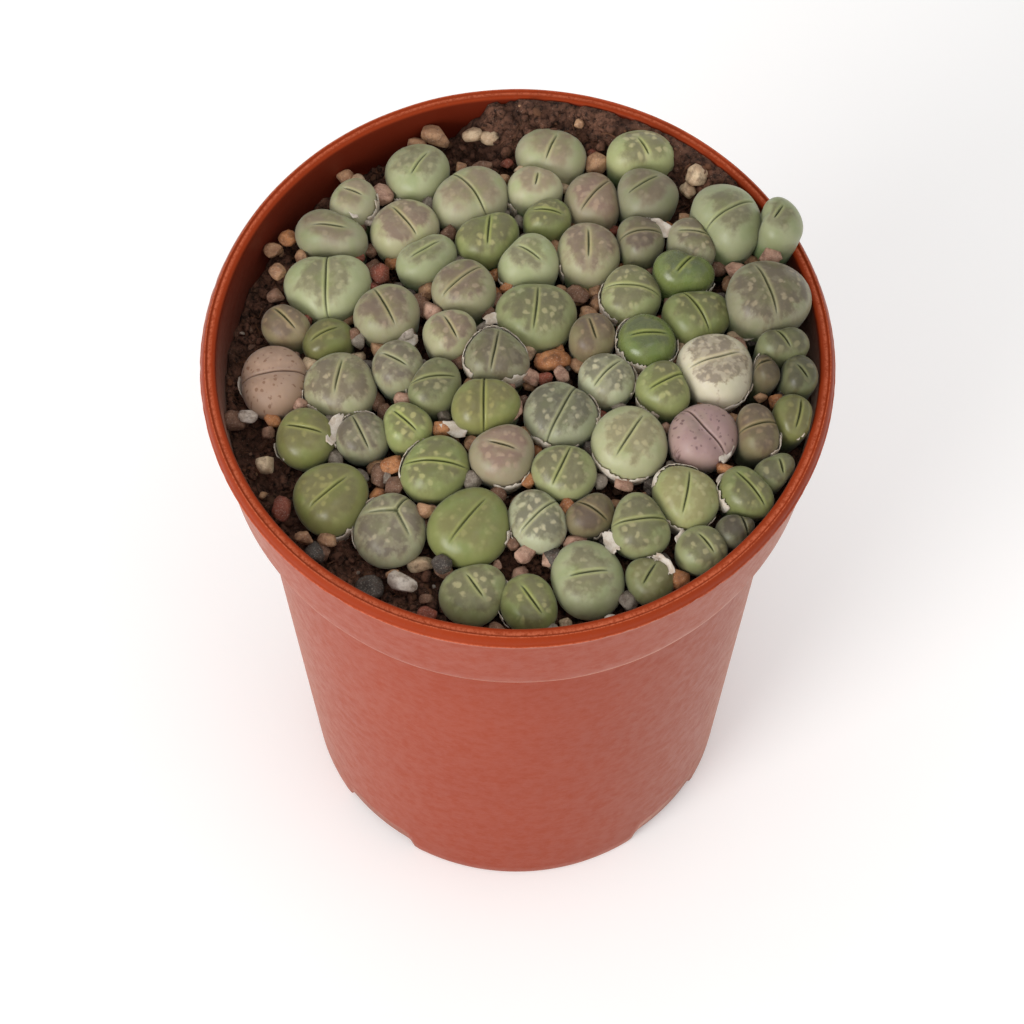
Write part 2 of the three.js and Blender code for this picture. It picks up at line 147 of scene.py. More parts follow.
class Shading:
    """Short names for the nodes of one procedural material."""

    def __init__(self, name, roughness=0.5, specular=0.5):
        self.material = bpy.data.materials.new(name)
        self.material.use_nodes = True
        self.tree = self.material.node_tree
        self.shader = self.tree.nodes["Principled BSDF"]
        self.shader.inputs["Roughness"].default_value = roughness
        self.shader.inputs["Specular IOR Level"].default_value = specular

    def add(self, kind, inputs=(), **settings):
        node = self.tree.nodes.new(kind)
        for key, value in settings.items():
            setattr(node, key, value)
        for key, value in dict(inputs).items():
            self.feed(node.inputs[key], value)
        return node

    def feed(self, socket, value):
        if isinstance(value, bpy.types.NodeSocket):
            self.tree.links.new(value, socket)
        else:
            socket.default_value = value

    def position(self):
        """Place on the object, in millimetres."""
        coordinates = self.add("ShaderNodeTexCoord").outputs["Object"]
        scaled = self.add("ShaderNodeVectorMath", {0: coordinates, 3: 1 / MM}, operation="SCALE")
        return scaled.outputs[0]

    def stretched(self, vector, factors):
        return self.add("ShaderNodeVectorMath", {0: vector, 1: factors}, operation="MULTIPLY").outputs[0]

    def attribute(self, name):
        return self.add("ShaderNodeAttribute", attribute_name=name).outputs["Vector"]

    def split(self, vector):
        return self.add("ShaderNodeSeparateXYZ", {0: vector}).outputs

    def noise(self, vector, scale, detail=2.0, rough=0.5):
        inputs = {"Vector": vector, "Scale": scale, "Detail": detail, "Roughness": rough}
        return self.add("ShaderNodeTexNoise", inputs).outputs["Fac"]

    def cells(self, vector, scale, randomness=1.0):
        inputs = {"Vector": vector, "Scale": scale, "Randomness": randomness}
        return self.add("ShaderNodeTexVoronoi", inputs).outputs["Distance"]

    def math(self, operation, first, second=0.0):
        return self.add("ShaderNodeMath", {0: first, 1: second}, operation=operation).outputs[0]

    def step(self, value, low, high, out_low=0.0, out_high=1.0):
        inputs = {"Value": value, "From Min": low, "From Max": high, "To Min": out_low, "To Max": out_high}
        return self.add("ShaderNodeMapRange", inputs, interpolation_type="SMOOTHSTEP").outputs[0]

    def mix(self, share, first, second, blend="MIX"):
        node = self.add("ShaderNodeMix", data_type="RGBA", blend_type=blend)
        self.feed(node.inputs["Factor"], share)
        self.feed(node.inputs[6], first)
        self.feed(node.inputs[7], second)
        return node.outputs[2]

    def bump(self, height, strength, distance_mm, under=None):
        inputs = {"Height": height, "Strength": strength, "Distance": distance_mm * MM}
        if under is not None:
            inputs["Normal"] = under
        return self.add("ShaderNodeBump", inputs).outputs["Normal"]

    def finish(self, color, normal=None, roughness=None):
        self.feed(self.shader.inputs["Base Color"], color)
        if normal is not None:
            self.feed(self.shader.inputs["Normal"], normal)
        if roughness is not None:
            self.feed(self.shader.inputs["Roughness"], roughness)
        return self.material

    def scatter(self, weight, radius_mm):
        self.shader.inputs["Subsurface Weight"].default_value = weight
        self.shader.inputs["Subsurface Radius"].default_value = [value * MM for value in radius_mm]
        self.shader.inputs["Subsurface Scale"].default_value = 1.0


# ---------------------------------------------------------------- camera, light and floor

CAMERA_DISTANCE = 20 * RIM_RADIUS
LOOK_DOWN = 62.394      # degrees below the horizon
LOOK_ASIDE = 0.098
CAMERA_ROLL = 0.15
RIM_SIGHT = 61.0        # slope of the line from the camera to the middle of the rim
LENS = 223.9
SENSOR = 36

# Lights, in metres and watts.
KEY_LIGHT = dict(place=(-0.60, -0.66, 0.44), energy=5.8, size=0.5, color=(1.0, 0.985, 0.96))
FILL_LIGHT = dict(place=(0.1, -0.2, 1.0), energy=0.6, size=0.3, color=(1.0, 0.99, 0.98))
SKY_STRENGTH = 0.8
FLOOR_GLOW = 0.17
FLOOR_HALF_SIDE = 3000


def add_camera():
    data = bpy.data.cameras.new("camera")
    data.lens = LENS
    data.sensor_width = SENSOR
    camera = bpy.data.objects.new("camera", data)
    bpy.context.scene.collection.objects.link(camera)
    slope = math.radians(RIM_SIGHT)
    camera.location = Vector((0, -math.cos(slope), math.sin(slope))) * CAMERA_DISTANCE * MM
    camera.location.z += POT_HEIGHT * MM
    turn = Euler((math.radians(90 - LOOK_DOWN), 0, math.radians(LOOK_ASIDE)), "XYZ").to_matrix()
    roll = Euler((0, 0, math.radians(CAMERA_ROLL)), "XYZ").to_matrix()
    camera.rotation_euler = (turn @ roll).to_euler()
    bpy.context.scene.camera = camera


def add_area_light(name, place, energy, size, color):
    data = bpy.data.lights.new(name, "AREA")
    data.shape = "DISK"
    data.size = size
    data.energy = energy
    data.color = color
    light = bpy.data.objects.new(name, data)
    light.location = place
    target = Vector((0, 0, POT_HEIGHT * MM))
    light.rotation_euler = (target - light.location).to_track_quat("-Z", "Y").to_euler()
    bpy.context.scene.collection.objects.link(light)


def add_studio():
    world = bpy.data.worlds.new("studio")
    world.use_nodes = True
    background = world.node_tree.nodes["Background"]
    background.inputs["Color"].default_value = (1.0, 0.995, 0.985, 1.0)
    background.inputs["Strength"].default_value = SKY_STRENGTH
    bpy.context.scene.world = world
    bpy.context.scene.view_settings.view_transform = "Standard"
    add_area_light("key", **KEY_LIGHT)
    add_area_light("fill", **FILL_LIGHT)

    shading = Shading("floor_paper", roughness=0.9, specular=0.1)
    shading.shader.inputs["Emission Color"].default_value = (1.0, 1.0, 1.0, 1.0)
    shading.shader.inputs["Emission Strength"].default_value = FLOOR_GLOW
    grain = shading.noise(shading.position(), 0.02, 3.0)
    color = shading.mix(grain, (0.86, 0.86, 0.86, 1), (0.9, 0.9, 0.9, 1))
    side = FLOOR_HALF_SIDE
    corners = [(-side, -side, 0), (side, -side, 0), (side, side, 0), (-side, side, 0)]
    floor = make_object("studio_floor", corners, [(0, 1, 2, 3)], shading.finish(color), smooth=False)


# ---------------------------------------------------------------- pot


def pot_material():
    shading = Shading("pot_plastic", roughness=0.42, specular=0.5)
    shading.shader.inputs["IOR"].default_value = 1.2
    shading.shader.inputs["Sheen Weight"].default_value = 0.3
    shading.shader.inputs["Sheen Roughness"].default_value = 0.25
    shading.shader.inputs["Sheen Tint"].default_value = (1.0, 0.7, 0.54, 1.0)
    shading.shader.inputs["Specular Tint"].default_value = (1.0, 0.8, 0.62, 1.0)
    place = shading.position()
    cloud = shading.noise(place, 0.035, 4.0, 0.6)
    mottle = shading.noise(place, 0.6, 5.0, 0.65)
    flow = shading.noise(shading.stretched(place, (0.9, 0.9, 0.05)), 1.0, 3.0)
    color = shading.mix(cloud, rgb(136, 45, 15), rgb(144, 52, 21))
    color = shading.mix(shading.step(mottle, 0.35, 0.75, 0.0, 0.05), color, rgb(130, 43, 17))
    color = shading.mix(shading.step(flow, 0.45, 0.8, 0.0, 0.03), color, rgb(176, 86, 58))
    dust_and_glint = shading.noise(place, 2.6, 6.0, 0.7)
    height = shading.split(place)[2]
    splashed = shading.step(height, POT_HEIGHT - 30, POT_HEIGHT + 4, 0.0, 0.3)
    dust_share = shading.math("MULTIPLY", shading.step(dust_and_glint, 0.56, 0.72), splashed)
    color = shading.mix(dust_share, color, rgb(120, 80, 62))
    inner, edge = shading.split(shading.attribute("inside"))[:2]
    # Painted shade: the whole inner wall is darkened as if it stood in shadow.
    color = shading.mix(shading.math("MULTIPLY", inner, 0.85), color, rgb(88, 28, 16))
    # Painted highlight: thin lighter orange lines on the lip's ridge and moulding line, broken up by the
    # same noise as the dust.
    patchy = shading.math("MULTIPLY", edge, shading.step(dust_and_glint, 0.36, 0.6, 0.15, 0.75))
    color = shading.mix(patchy, color, rgb(214, 116, 82))
    scratch = shading.noise(shading.stretched(place, (1.2, 1.2, 7.0)), 1.4, 3.0, 0.6)
    color = shading.mix(shading.step(scratch, 0.7, 0.78, 0.0, 0.1), color, rgb(190, 112, 86))
    peel = shading.noise(place, 1.7, 2.0)
    fine = shading.noise(place, 9.0, 3.0)
    normal = shading.bump(peel, 0.14, 0.08)
    normal = shading.bump(fine, 0.2, 0.03, normal)
    return shading.finish(color, normal, shading.step(mottle, 0.3, 0.8, 0.34, 0.5))


def pot_profile():
    """Radius and height round the wall, from the middle of the floor's underside to its top side."""
    foot_inside = BASE_RADIUS - FOOT_WIDTH
    floor_top = FLOOR_RISE + WALL
    flash = POT_HEIGHT - FLASH_BELOW_RIM
    rim = RIM_RADIUS
    top = POT_HEIGHT
    points = [(radius, FLOOR_RISE) for radius in np.linspace(0, foot_inside - 0.6, 16)]
    points += [  # the foot ring
        (foot_inside, FLOOR_RISE - 0.4),
        (foot_inside, 1.4),
        (foot_inside + 0.1, 0.25),
        (foot_inside + 0.4, 0),
        (BASE_RADIUS - 0.5, 0),
        (BASE_RADIUS - 0.15, 0.25),
        (BASE_RADIUS + 0.05, 0.7),
    ]
    for share in np.linspace(0.03, 1, 26)[:-1]:
        height = share * (COLLAR_BOTTOM - 0.5)
        points.append((BASE_RADIUS + (BODY_TOP_RADIUS - BASE_RADIUS) * height / COLLAR_BOTTOM, height))
    points += [  # the step out to the collar
        (BODY_TOP_RADIUS - 0.05, COLLAR_BOTTOM - 0.6),
        (BODY_TOP_RADIUS + 0.25, COLLAR_BOTTOM - 0.1),
        (BODY_TOP_RADIUS + 1.4, COLLAR_BOTTOM),
        (COLLAR_BOTTOM_RADIUS - 0.4, COLLAR_BOTTOM),
        (COLLAR_BOTTOM_RADIUS - 0.08, COLLAR_BOTTOM + 0.15),
        (COLLAR_BOTTOM_RADIUS + 0.08, COLLAR_BOTTOM + 0.6),
    ]
    for share in np.linspace(0.1, 1, 10)[:-1]:
        height = COLLAR_BOTTOM + share * (flash - COLLAR_BOTTOM)
        points.append((COLLAR_BOTTOM_RADIUS + 0.1 + share * (rim - COLLAR_BOTTOM_RADIUS - 0.55), height))
    points += [  # the moulding line, the ridge and groove on the lip, and its inner edge
        (rim - 0.45, flash - 0.12),
        (rim - 0.05, flash),
        (rim, flash + 0.14),
        (rim - 0.16, flash + 0.3),
        (rim - 0.22, flash + 0.9),
        (rim - 0.4, top - 0.5),
        (rim - 0.62, top - 0.14),
        (rim - 0.74, top),
        (rim - 0.86, top - 0.12),
        (rim - 1.0, top - 0.34),
        (rim - 1.2, top - 0.3),
        (LIP_INNER_RADIUS + 0.5, top - 0.1),
        (LIP_INNER_RADIUS + 0.2, top - 0.2),
        (LIP_INNER_RADIUS + 0.03, top - 0.5),
        (LIP_INNER_RADIUS - 0.06, top - 0.9),
    ]
    for share in np.linspace(0.1, 1, 8):
        height = top - 1 - share * (COLLAR_HEIGHT - 2)
        points.append((LIP_INNER_RADIUS - 0.06 - share * 1.9, height))
    points += [
        (BODY_TOP_RADIUS - WALL, COLLAR_BOTTOM - 1.2),
        (BASE_RADIUS - WALL, floor_top + 0.6),
        (BASE_RADIUS - WALL - 0.6, floor_top),
    ]
    points += [(radius, floor_top) for radius in np.linspace(BASE_RADIUS - 4, 0, 14)]
    return points


def notch_lift(angle_degrees):
    """How far the foot is cut up from the floor at an angle."""
    away = min(abs((angle_degrees - middle + 180) % 360 - 180) for middle in NOTCH_ANGLES)
    wide, narrow = NOTCH_HALF_ANGLES
    return NOTCH_HEIGHT * float(smooth_step(wide, narrow, away)) if away < wide else 0.0


def add_pot():
    profile = pot_profile()
    flash = POT_HEIGHT - FLASH_BELOW_RIM
    points = []
    inside = []
    last_outer = max(range(len(profile)), key=lambda index: profile[index][1])
    first_inner = last_outer + 6
    for index, (radius, height) in enumerate(profile):
        outer_side = radius > LIP_INNER_RADIUS
        for segment in range(POT_SEGMENTS):
            angle = 2 * math.pi * segment / POT_SEGMENTS
            direction = Vector((math.cos(angle), math.sin(angle), 0))
            out = radius
            up = height
            if height < NOTCH_HEIGHT and radius > BASE_RADIUS - FOOT_WIDTH - 0.1 and index < last_outer:
                up = max(height, notch_lift(math.degrees(angle)) * (1 - height / NOTCH_HEIGHT) + height)
            if abs(height - flash) < 0.2 and radius > RIM_RADIUS - 0.5:
                ragged = noise.fractal(direction * 30, 1.0, 2.2, 4)
                up += 0.22 * ragged
                out -= 0.1 * abs(ragged)
            if height > COLLAR_BOTTOM - 2 and radius < RIM_RADIUS - 0.3:
                out += 0.05 * noise.noise(direction * 5 + Vector((0, 0, height * 0.2)))
            points.append((out * direction.x, out * direction.y, up))
            # The lip's ridge and moulding line, which get a painted highlight.
            on_edge = abs(height - flash - 0.14) < 0.12 or index in (last_outer, last_outer + 3)
            # The first value marks the inner wall for painted shade, the second the edge lines for a
            # painted highlight.
            inside.append((float(index >= first_inner), float(on_edge and outer_side), 0))
    faces = grid_faces(len(profile), POT_SEGMENTS)
    pot = make_object("pot_plastic_shell", points, faces, pot_material())
    add_vectors(pot, "inside", inside)
    cut_drain_holes(pot)
    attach(pot, "root")
    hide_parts("nursery_pot")


def cut_drain_holes(pot):
    """Cuts the holes through the floor with one boolean."""
    mesh = pot.data
    shape = bmesh.new()
    shape.from_mesh(mesh)
    bmesh.ops.remove_doubles(shape, verts=shape.verts, dist=0.002 * MM)
    shape.to_mesh(mesh)
    shape.free()
    tool_shape = bmesh.new()
    for hole in range(DRAIN_HOLES):
        angle = 2 * math.pi * hole / DRAIN_HOLES
        middle = Vector((math.cos(angle), math.sin(angle), 0)) * DRAIN_RING_RADIUS * MM
        middle.z = (FLOOR_RISE + WALL / 2) * MM
        made = bmesh.ops.create_cone(tool_shape, cap_ends=True, segments=40, depth=4 * WALL * MM,
                                     radius1=DRAIN_RADIUS * MM, radius2=DRAIN_RADIUS * MM)
        bmesh.ops.translate(tool_shape, verts=made["verts"], vec=middle)
    tool_mesh = bpy.data.meshes.new("drain_tool")
    tool_shape.to_mesh(tool_mesh)
    tool_shape.free()
    tool = bpy.data.objects.new("drain_tool", tool_mesh)
    bpy.context.scene.collection.objects.link(tool)
    cut = pot.modifiers.new("drain", "BOOLEAN")
    cut.operation = "DIFFERENCE"
    cut.object = tool
    cut.solver = "EXACT"
    apply_modifiers(pot)
    bpy.data.objects.remove(tool)


def apply_modifiers(piece):
    """Replaces a piece's mesh by what its modifiers make of it."""
    bpy.context.view_layer.update()
    evaluated = piece.evaluated_get(bpy.context.evaluated_depsgraph_get())
    made = bpy.data.meshes.new_from_object(evaluated)
    piece.modifiers.clear()
    piece.data = made


# ---------------------------------------------------------------- soil

SOIL_RINGS = 110
SOIL_SEGMENTS = 420
SOIL_GAP = 0.3
SOIL_BANK = 7.9                        # how far it climbs the wall at the back
SOIL_BANK_ANGLES = (34, 46, 92, 106)   # where the bank starts, is full, and ends again
soil_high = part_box("soil")[1].z / MM


def inner_wall(height):
    low = COLLAR_BOTTOM + WALL
    share = np.clip((height - low) / (POT_HEIGHT - low), 0, 1)
    return COLLAR_BOTTOM_RADIUS - WALL + share * (LIP_INNER_RADIUS - COLLAR_BOTTOM_RADIUS + WALL)


def soil_height(x, y):
    """Top of the soil: sunk at the left and front, and banked up against the wall at the back."""
    far = math.hypot(x, y) / RIM_RADIUS
    angle = math.degrees(math.atan2(y, x)) % 360
    start, full, fading, end = SOIL_BANK_ANGLES
    bank = float(smooth_step(start, full, angle) * (1 - smooth_step(fading, end, angle)))
    edge = float(smooth_step(0.70, 0.95, far))
    level = soil_high - 0.2 - 0.6 * far ** 2 + 0.02 * x
    level += edge * SOIL_BANK * bank
    place = Vector((x, y, 0))
    clods = noise.fractal(place * 0.3, 0.9, 2.1, 5)
    crumbs = noise.fractal(place * 1.1 + Vector((9, 4, 2)), 0.8, 2.3, 5)
    return min(float(level + 1.2 * clods + 1.0 * crumbs), POT_HEIGHT - 0.15)


def soil_material():
    shading = Shading("soil_peat", roughness=0.92, specular=0.25)
    place = shading.position()
    broad = shading.noise(place, 0.22, 4.0, 0.6)
    clod = shading.noise(place, 1.1, 6.0, 0.7)
    fleck = shading.cells(place, 1.6)
    color = shading.mix(shading.step(broad, 0.35, 0.65), rgb(98, 66, 52), rgb(140, 98, 78))
    color = shading.mix(shading.step(clod, 0.32, 0.6), rgb(36, 23, 17), color)
    color = shading.mix(shading.step(clod, 0.6, 0.8, 0.0, 0.5), color, rgb(132, 92, 72))
    color = shading.mix(shading.step(fleck, 0.0, 0.12, 0.6, 0.0), color, rgb(164, 132, 112))
    speck = shading.cells(place, 2.3)
    color = shading.mix(shading.step(speck, 0.05, 0.14, 0.75, 0.0), color, rgb(192, 172, 154))
    height = shading.noise(place, 3.0, 8.0, 0.75)
    normal = shading.bump(height, 0.9, 0.7)
    return shading.finish(color, normal)


def add_soil():
    points = []
    for ring in range(SOIL_RINGS + 1):
        share = ring / SOIL_RINGS
        for segment in range(SOIL_SEGMENTS):
            angle = 2 * math.pi * segment / SOIL_SEGMENTS
            radius = max(share, 0.002) * (inner_wall(soil_high) - 0.05)
            x = radius * math.cos(angle)
            y = radius * math.sin(angle)
            height = soil_height(x, y)
            if ring == SOIL_RINGS:
                reach = inner_wall(height) - 0.03
                x = reach * math.cos(angle)
                y = reach * math.sin(angle)
            points.append((x, y, height))
    floor = FLOOR_RISE + WALL + SOIL_GAP
    levels = [
        (inner_wall(soil_high - 6) - 0.1, soil_high - 6),
        (COLLAR_BOTTOM_RADIUS - WALL - 0.4, COLLAR_BOTTOM + 2),
        (BODY_TOP_RADIUS - WALL - 0.4, COLLAR_BOTTOM - 2),
        (BASE_RADIUS - WALL - 0.7, floor),
        (0.05, floor),
    ]
    for radius, height in levels:
        for segment in range(SOIL_SEGMENTS):
            angle = 2 * math.pi * segment / SOIL_SEGMENTS
            points.append((radius * math.cos(angle), radius * math.sin(angle), height))
    rows = SOIL_RINGS + 1 + len(levels)
    faces = [tuple(reversed(face)) for face in grid_faces(rows, SOIL_SEGMENTS)]
    faces.append(tuple(range(SOIL_SEGMENTS)))
    faces.append(tuple(reversed(range((rows - 1) * SOIL_SEGMENTS, rows * SOIL_SEGMENTS))))
    soil = make_object("soil_bed", points, faces, soil_material())
    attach(soil, "root")
    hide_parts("soil")


# ---------------------------------------------------------------- lithops: colours

# For each kind of skin: the colours of the pale margin, the dark windows, the pale islands, the sides
# low down and the slit's lips; then how far the windows reach, how crisp their edge is, how much they
# are broken up, how big and how plain the pale islands are, and the roughness. Two kinds have dark dots.
KINDS = {
    "jade": dict(margin=(160, 160, 128), window=(112, 112, 90), island=(170, 170, 140),
                 low=(116, 134, 68),
                 lip=(166, 172, 112), reach=0.6, crisp=0.4, broken=0.3, size=0.22, plain=0.4, rough=0.44),
    "mint": dict(margin=(184, 180, 146), window=(138, 136, 108), island=(190, 186, 152),
                 low=(132, 150, 84),
                 lip=(190, 192, 132), reach=0.62, crisp=0.5, broken=0.35, size=0.26, plain=0.55,
                 rough=0.42),
    "ash": dict(margin=(158, 152, 128), window=(120, 110, 95), island=(168, 160, 138), low=(112, 136, 58),
                lip=(164, 158, 112), reach=0.66, crisp=0.2, broken=0.15, size=0.22, plain=0.3, rough=0.5),
    "taupe": dict(margin=(156, 149, 122), window=(108, 95, 86), island=(172, 158, 140),
                  low=(130, 140, 76),
                  lip=(168, 152, 110), reach=0.72, crisp=0.45, broken=0.2, size=0.22, plain=0.45,
                  rough=0.45),
    "sage": dict(margin=(146, 146, 108), window=(98, 98, 76), island=(160, 158, 124), low=(106, 120, 62),
                 lip=(160, 162, 100), reach=0.76, crisp=0.45, broken=0.2, size=0.26, plain=0.75,
                 rough=0.4),
    "moss": dict(margin=(126, 128, 84), window=(94, 95, 68), island=(156, 156, 110), low=(100, 116, 54),
                 lip=(160, 166, 88), reach=0.72, crisp=0.4, broken=0.2, size=0.26, plain=0.7, rough=0.36),
    "lime": dict(margin=(140, 142, 88), window=(118, 120, 78), island=(158, 158, 108), low=(106, 126, 58),
                 lip=(158, 164, 90), reach=0.6, crisp=0.15, broken=0.2, size=0.24, plain=0.55,
                 rough=0.36),
    "olive": dict(margin=(132, 130, 82), window=(104, 103, 68), island=(150, 148, 96), low=(104, 120, 48),
                  lip=(160, 160, 90), reach=0.7, crisp=0.2, broken=0.2, size=0.22, plain=0.55,
                  rough=0.34),
    "gloss": dict(margin=(112, 120, 70), window=(82, 92, 66), island=(130, 136, 84), low=(88, 114, 46),
                  lip=(166, 172, 84), reach=0.7, crisp=0.2, broken=0.2, size=0.22, plain=0.45,
                  rough=0.26),
    "slate": dict(margin=(146, 142, 118), window=(90, 84, 76), island=(156, 150, 130), low=(104, 114, 70),
                  lip=(150, 146, 108), reach=0.86, crisp=0.5, broken=0.4, size=0.22, plain=0.65,
                  rough=0.42),
    "silver": dict(margin=(158, 156, 134), window=(92, 93, 80), island=(166, 164, 142),
                   low=(112, 122, 78),
                   lip=(158, 160, 114), reach=0.8, crisp=0.55, broken=0.4, size=0.24, plain=0.75,
                   rough=0.42),
    "stone": dict(margin=(140, 134, 112), window=(92, 86, 74), island=(160, 152, 130), low=(110, 122, 66),
                  lip=(154, 148, 106), reach=0.8, crisp=0.6, broken=0.35, size=0.22, plain=0.6,
                  rough=0.42),
    "chalk": dict(margin=(194, 182, 166), window=(116, 110, 100), island=(190, 180, 162),
                  low=(150, 148, 116),
                  lip=(186, 174, 136), reach=0.72, crisp=0.75, broken=0.5, size=0.22, plain=0.55,
                  rough=0.5),
    "umber": dict(margin=(124, 110, 86), window=(88, 76, 66), island=(142, 126, 102), low=(102, 104, 58),
                  lip=(146, 128, 90), reach=0.84, crisp=0.4, broken=0.35, size=0.24, plain=0.55,
                  rough=0.46),
    "rose": dict(margin=(156, 142, 120), window=(128, 108, 100), island=(164, 146, 130),
                 low=(124, 126, 86),
                 lip=(166, 150, 112), reach=0.76, crisp=0.4, broken=0.3, size=0.26, plain=0.75,
                 rough=0.44),
    "pear": dict(margin=(166, 166, 120), window=(138, 138, 98), island=(174, 174, 136),
                 low=(120, 132, 64),
                 lip=(172, 176, 112), reach=0.86, crisp=0.4, broken=0.45, size=0.28, plain=0.75,
                 rough=0.42),
    "fawn": dict(margin=(150, 124, 105), window=(140, 114, 96), island=(168, 140, 120),
                 low=(146, 124, 108),
                 lip=(132, 112, 102), reach=0.7, crisp=0.15, broken=0.15, size=0.22, plain=0.35,
                 rough=0.5,
                 dots=(112, 80, 60)),
    "mauve": dict(margin=(164, 136, 131), window=(150, 122, 119), island=(172, 144, 140),
                  low=(134, 126, 100),
                  lip=(182, 154, 150), reach=0.7, crisp=0.15, broken=0.15, size=0.22, plain=0.35,
                  rough=0.46,
                  dots=(100, 72, 72)),
}


def skin_material(kind):
    look = KINDS[kind]
    shading = Shading("lithops_" + kind, roughness=look["rough"], specular=0.4)
    shading.shader.inputs["Sheen Weight"].default_value = 0.12
    shading.shader.inputs["Sheen Roughness"].default_value = 0.4
    spot = shading.attribute("spot")    # along the slit, across it, and a number of the head's own
    zone = shading.attribute("zone")    # 0 at the middle to 1 at the shoulder, down the side, in the slit
    slit = shading.attribute("slit")    # on the slit's lips, and away from the slit
    reach, side, cleft = shading.split(zone)[:3]
    lip, away = shading.split(slit)[:2]

    broad = shading.noise(spot, 0.34, 2.0)
    ragged = shading.noise(spot, 1.0, 3.0, 0.6)
    fine = shading.noise(spot, 7.0, 3.0, 0.6)
    wander = shading.math("MULTIPLY", shading.math("SUBTRACT", broad, 0.5), 1.0)
    tooth = shading.math("MULTIPLY", shading.math("SUBTRACT", ragged, 0.5), 1.1 * look["crisp"])
    edge = shading.math("ADD", reach, shading.math("ADD", wander, tooth))
    soft = 0.24 - 0.19 * look["crisp"]
    window = shading.step(edge, look["reach"] - soft, look["reach"] + soft, 1.0, 0.0)
    lanes = shading.noise(spot, 0.75, 2.0, 0.5)
    lane_soft = 0.12 - 0.09 * look["crisp"]
    open_lane = shading.step(lanes, 0.44 - lane_soft, 0.44 + lane_soft, 1 - 0.85 * look["broken"], 1.0)
    window = shading.math("MULTIPLY", shading.math("MULTIPLY", window, open_lane), away)

    warp = shading.add("ShaderNodeTexNoise", {"Vector": spot, "Scale": 0.8, "Detail": 2.0}).outputs["Color"]
    bent = shading.add("ShaderNodeVectorMath", {0: warp, 3: 1.1}, operation="SCALE").outputs[0]
    pushed = shading.add("ShaderNodeVectorMath", {0: spot, 1: bent}, operation="ADD").outputs[0]
    cell = shading.cells(pushed, 0.78, 0.9)
    size = look["size"]
    island = shading.step(cell, size - 0.08, size + 0.23 - 0.12 * look["crisp"], 1.0, 0.0)
    island = shading.math("MULTIPLY", island, away)

    color = shading.mix(shading.math("MULTIPLY", window, 0.95), rgb(*look["margin"]), rgb(*look["window"]))
    shade = shading.step(broad, 0.4, 0.7, 0.0, 0.3)
    color = shading.mix(shade, color, rgb(*look["low"]))
    inner_island = shading.math("MULTIPLY", island, shading.step(reach, 0.55, 1.1, look["plain"], 0.1))
    color = shading.mix(inner_island, color, rgb(*look["island"]))
    rim = shading.math("MULTIPLY", shading.step(reach, 0.78, 0.96), shading.step(side, 0.0, 0.3, 1.0, 0.0))
    color = shading.mix(shading.math("MULTIPLY", rim, 0.4), color, rgb(*look["margin"]))
    lowered = shading.math("ADD", side, shading.math("MULTIPLY", wander, 0.3))
    color = shading.mix(shading.step(lowered, 0.0, 0.6, 0.0, 0.92), color, rgb(*look["low"]))
    color = shading.mix(shading.step(ragged, 0.45, 0.75, 0.0, 0.16), color, rgb(*look["island"]))
    color = shading.mix(shading.math("MULTIPLY", fine, 0.14), color, rgb(*look["window"]))
    if "dots" in look:
        dot_cell = shading.cells(pushed, 1.3, 1.0)
        kept = shading.step(shading.noise(spot, 0.9, 1.0), 0.32, 0.44)
        dot = shading.math("MULTIPLY", shading.step(dot_cell, 0.18, 0.36, 0.8, 0.0), kept)
        color = shading.mix(shading.math("MULTIPLY", dot, away), color, rgb(*look["dots"]))
    color = shading.mix(shading.math("MULTIPLY", lip, 0.42), color, rgb(*look["lip"]))
    # The slit is painted dark: partly the deeper green of the inner leaves, partly painted shade for the
    # depth of the fissure.
    slit_shade_color = (84, 86, 54) if "dots" not in look else (96, 72, 62)
    color = shading.mix(shading.math("MULTIPLY", cleft, 0.9), color, rgb(*slit_shade_color))

    if "dots" not in look:
        on_top = shading.mix(window, (0.95, 0.99, 0.92, 1.0), (1.05, 0.97, 0.86, 1.0))
        tint = shading.mix(shading.step(lowered, 0.0, 0.5), on_top, (0.82, 0.98, 1.0, 1.0))
        color = shading.mix(1.0, color, tint, "MULTIPLY")
    # Each head's tone: partly its own, partly painted light and shade.
    color = shading.mix(1.0, color, shading.attribute("tone"), "MULTIPLY")

    normal = shading.bump(fine, 0.25, 0.05)
    normal = shading.bump(island, 0.12, 0.08, normal)
    rough = shading.step(ragged, 0.3, 0.8, look["rough"] - 0.06, look["rough"] + 0.1)
    shading.scatter(0.14, (1.4, 1.2, 0.5))
    return shading.finish(color, normal, rough)


# ---------------------------------------------------------------- lithops: shapes

CAP_STEPS = 44
CAP_STEPS_THREE_LOBED = 96
CAP_POWER = 2.1
SIDE_STEPS = 12
OUTLINE_STEPS = 72
FULL_SLIT = 1.15
MAUVE_BEND = -0.035
CLEFT_DEPTH = 0.6
VALLEY_DEPTH = 0.2          # of the soft dip along a slit that ends on the top
FULL_VALLEY_DEPTH = 0.42    # and along one that runs right across
LIP_RISE = 0.07
LEAF_RISE = 0.2
SIDE_PINCH = 0.3            # how much narrower a head is at its base
THREE_LOBED = "lithops_44"
THREE_SLITS = (177, 58, -62)   # degrees, from the middle out
MEASURED_DEPTHS = (2.4, 3.1, 3.8)   # how far below the top a head's outline is measured
GROW = 0.13            # how far the skin stands out past the CAD solid, into the gaps
MOST_LEAN = 0.24       # how far a body at the rim leans over, for each millimetre of height

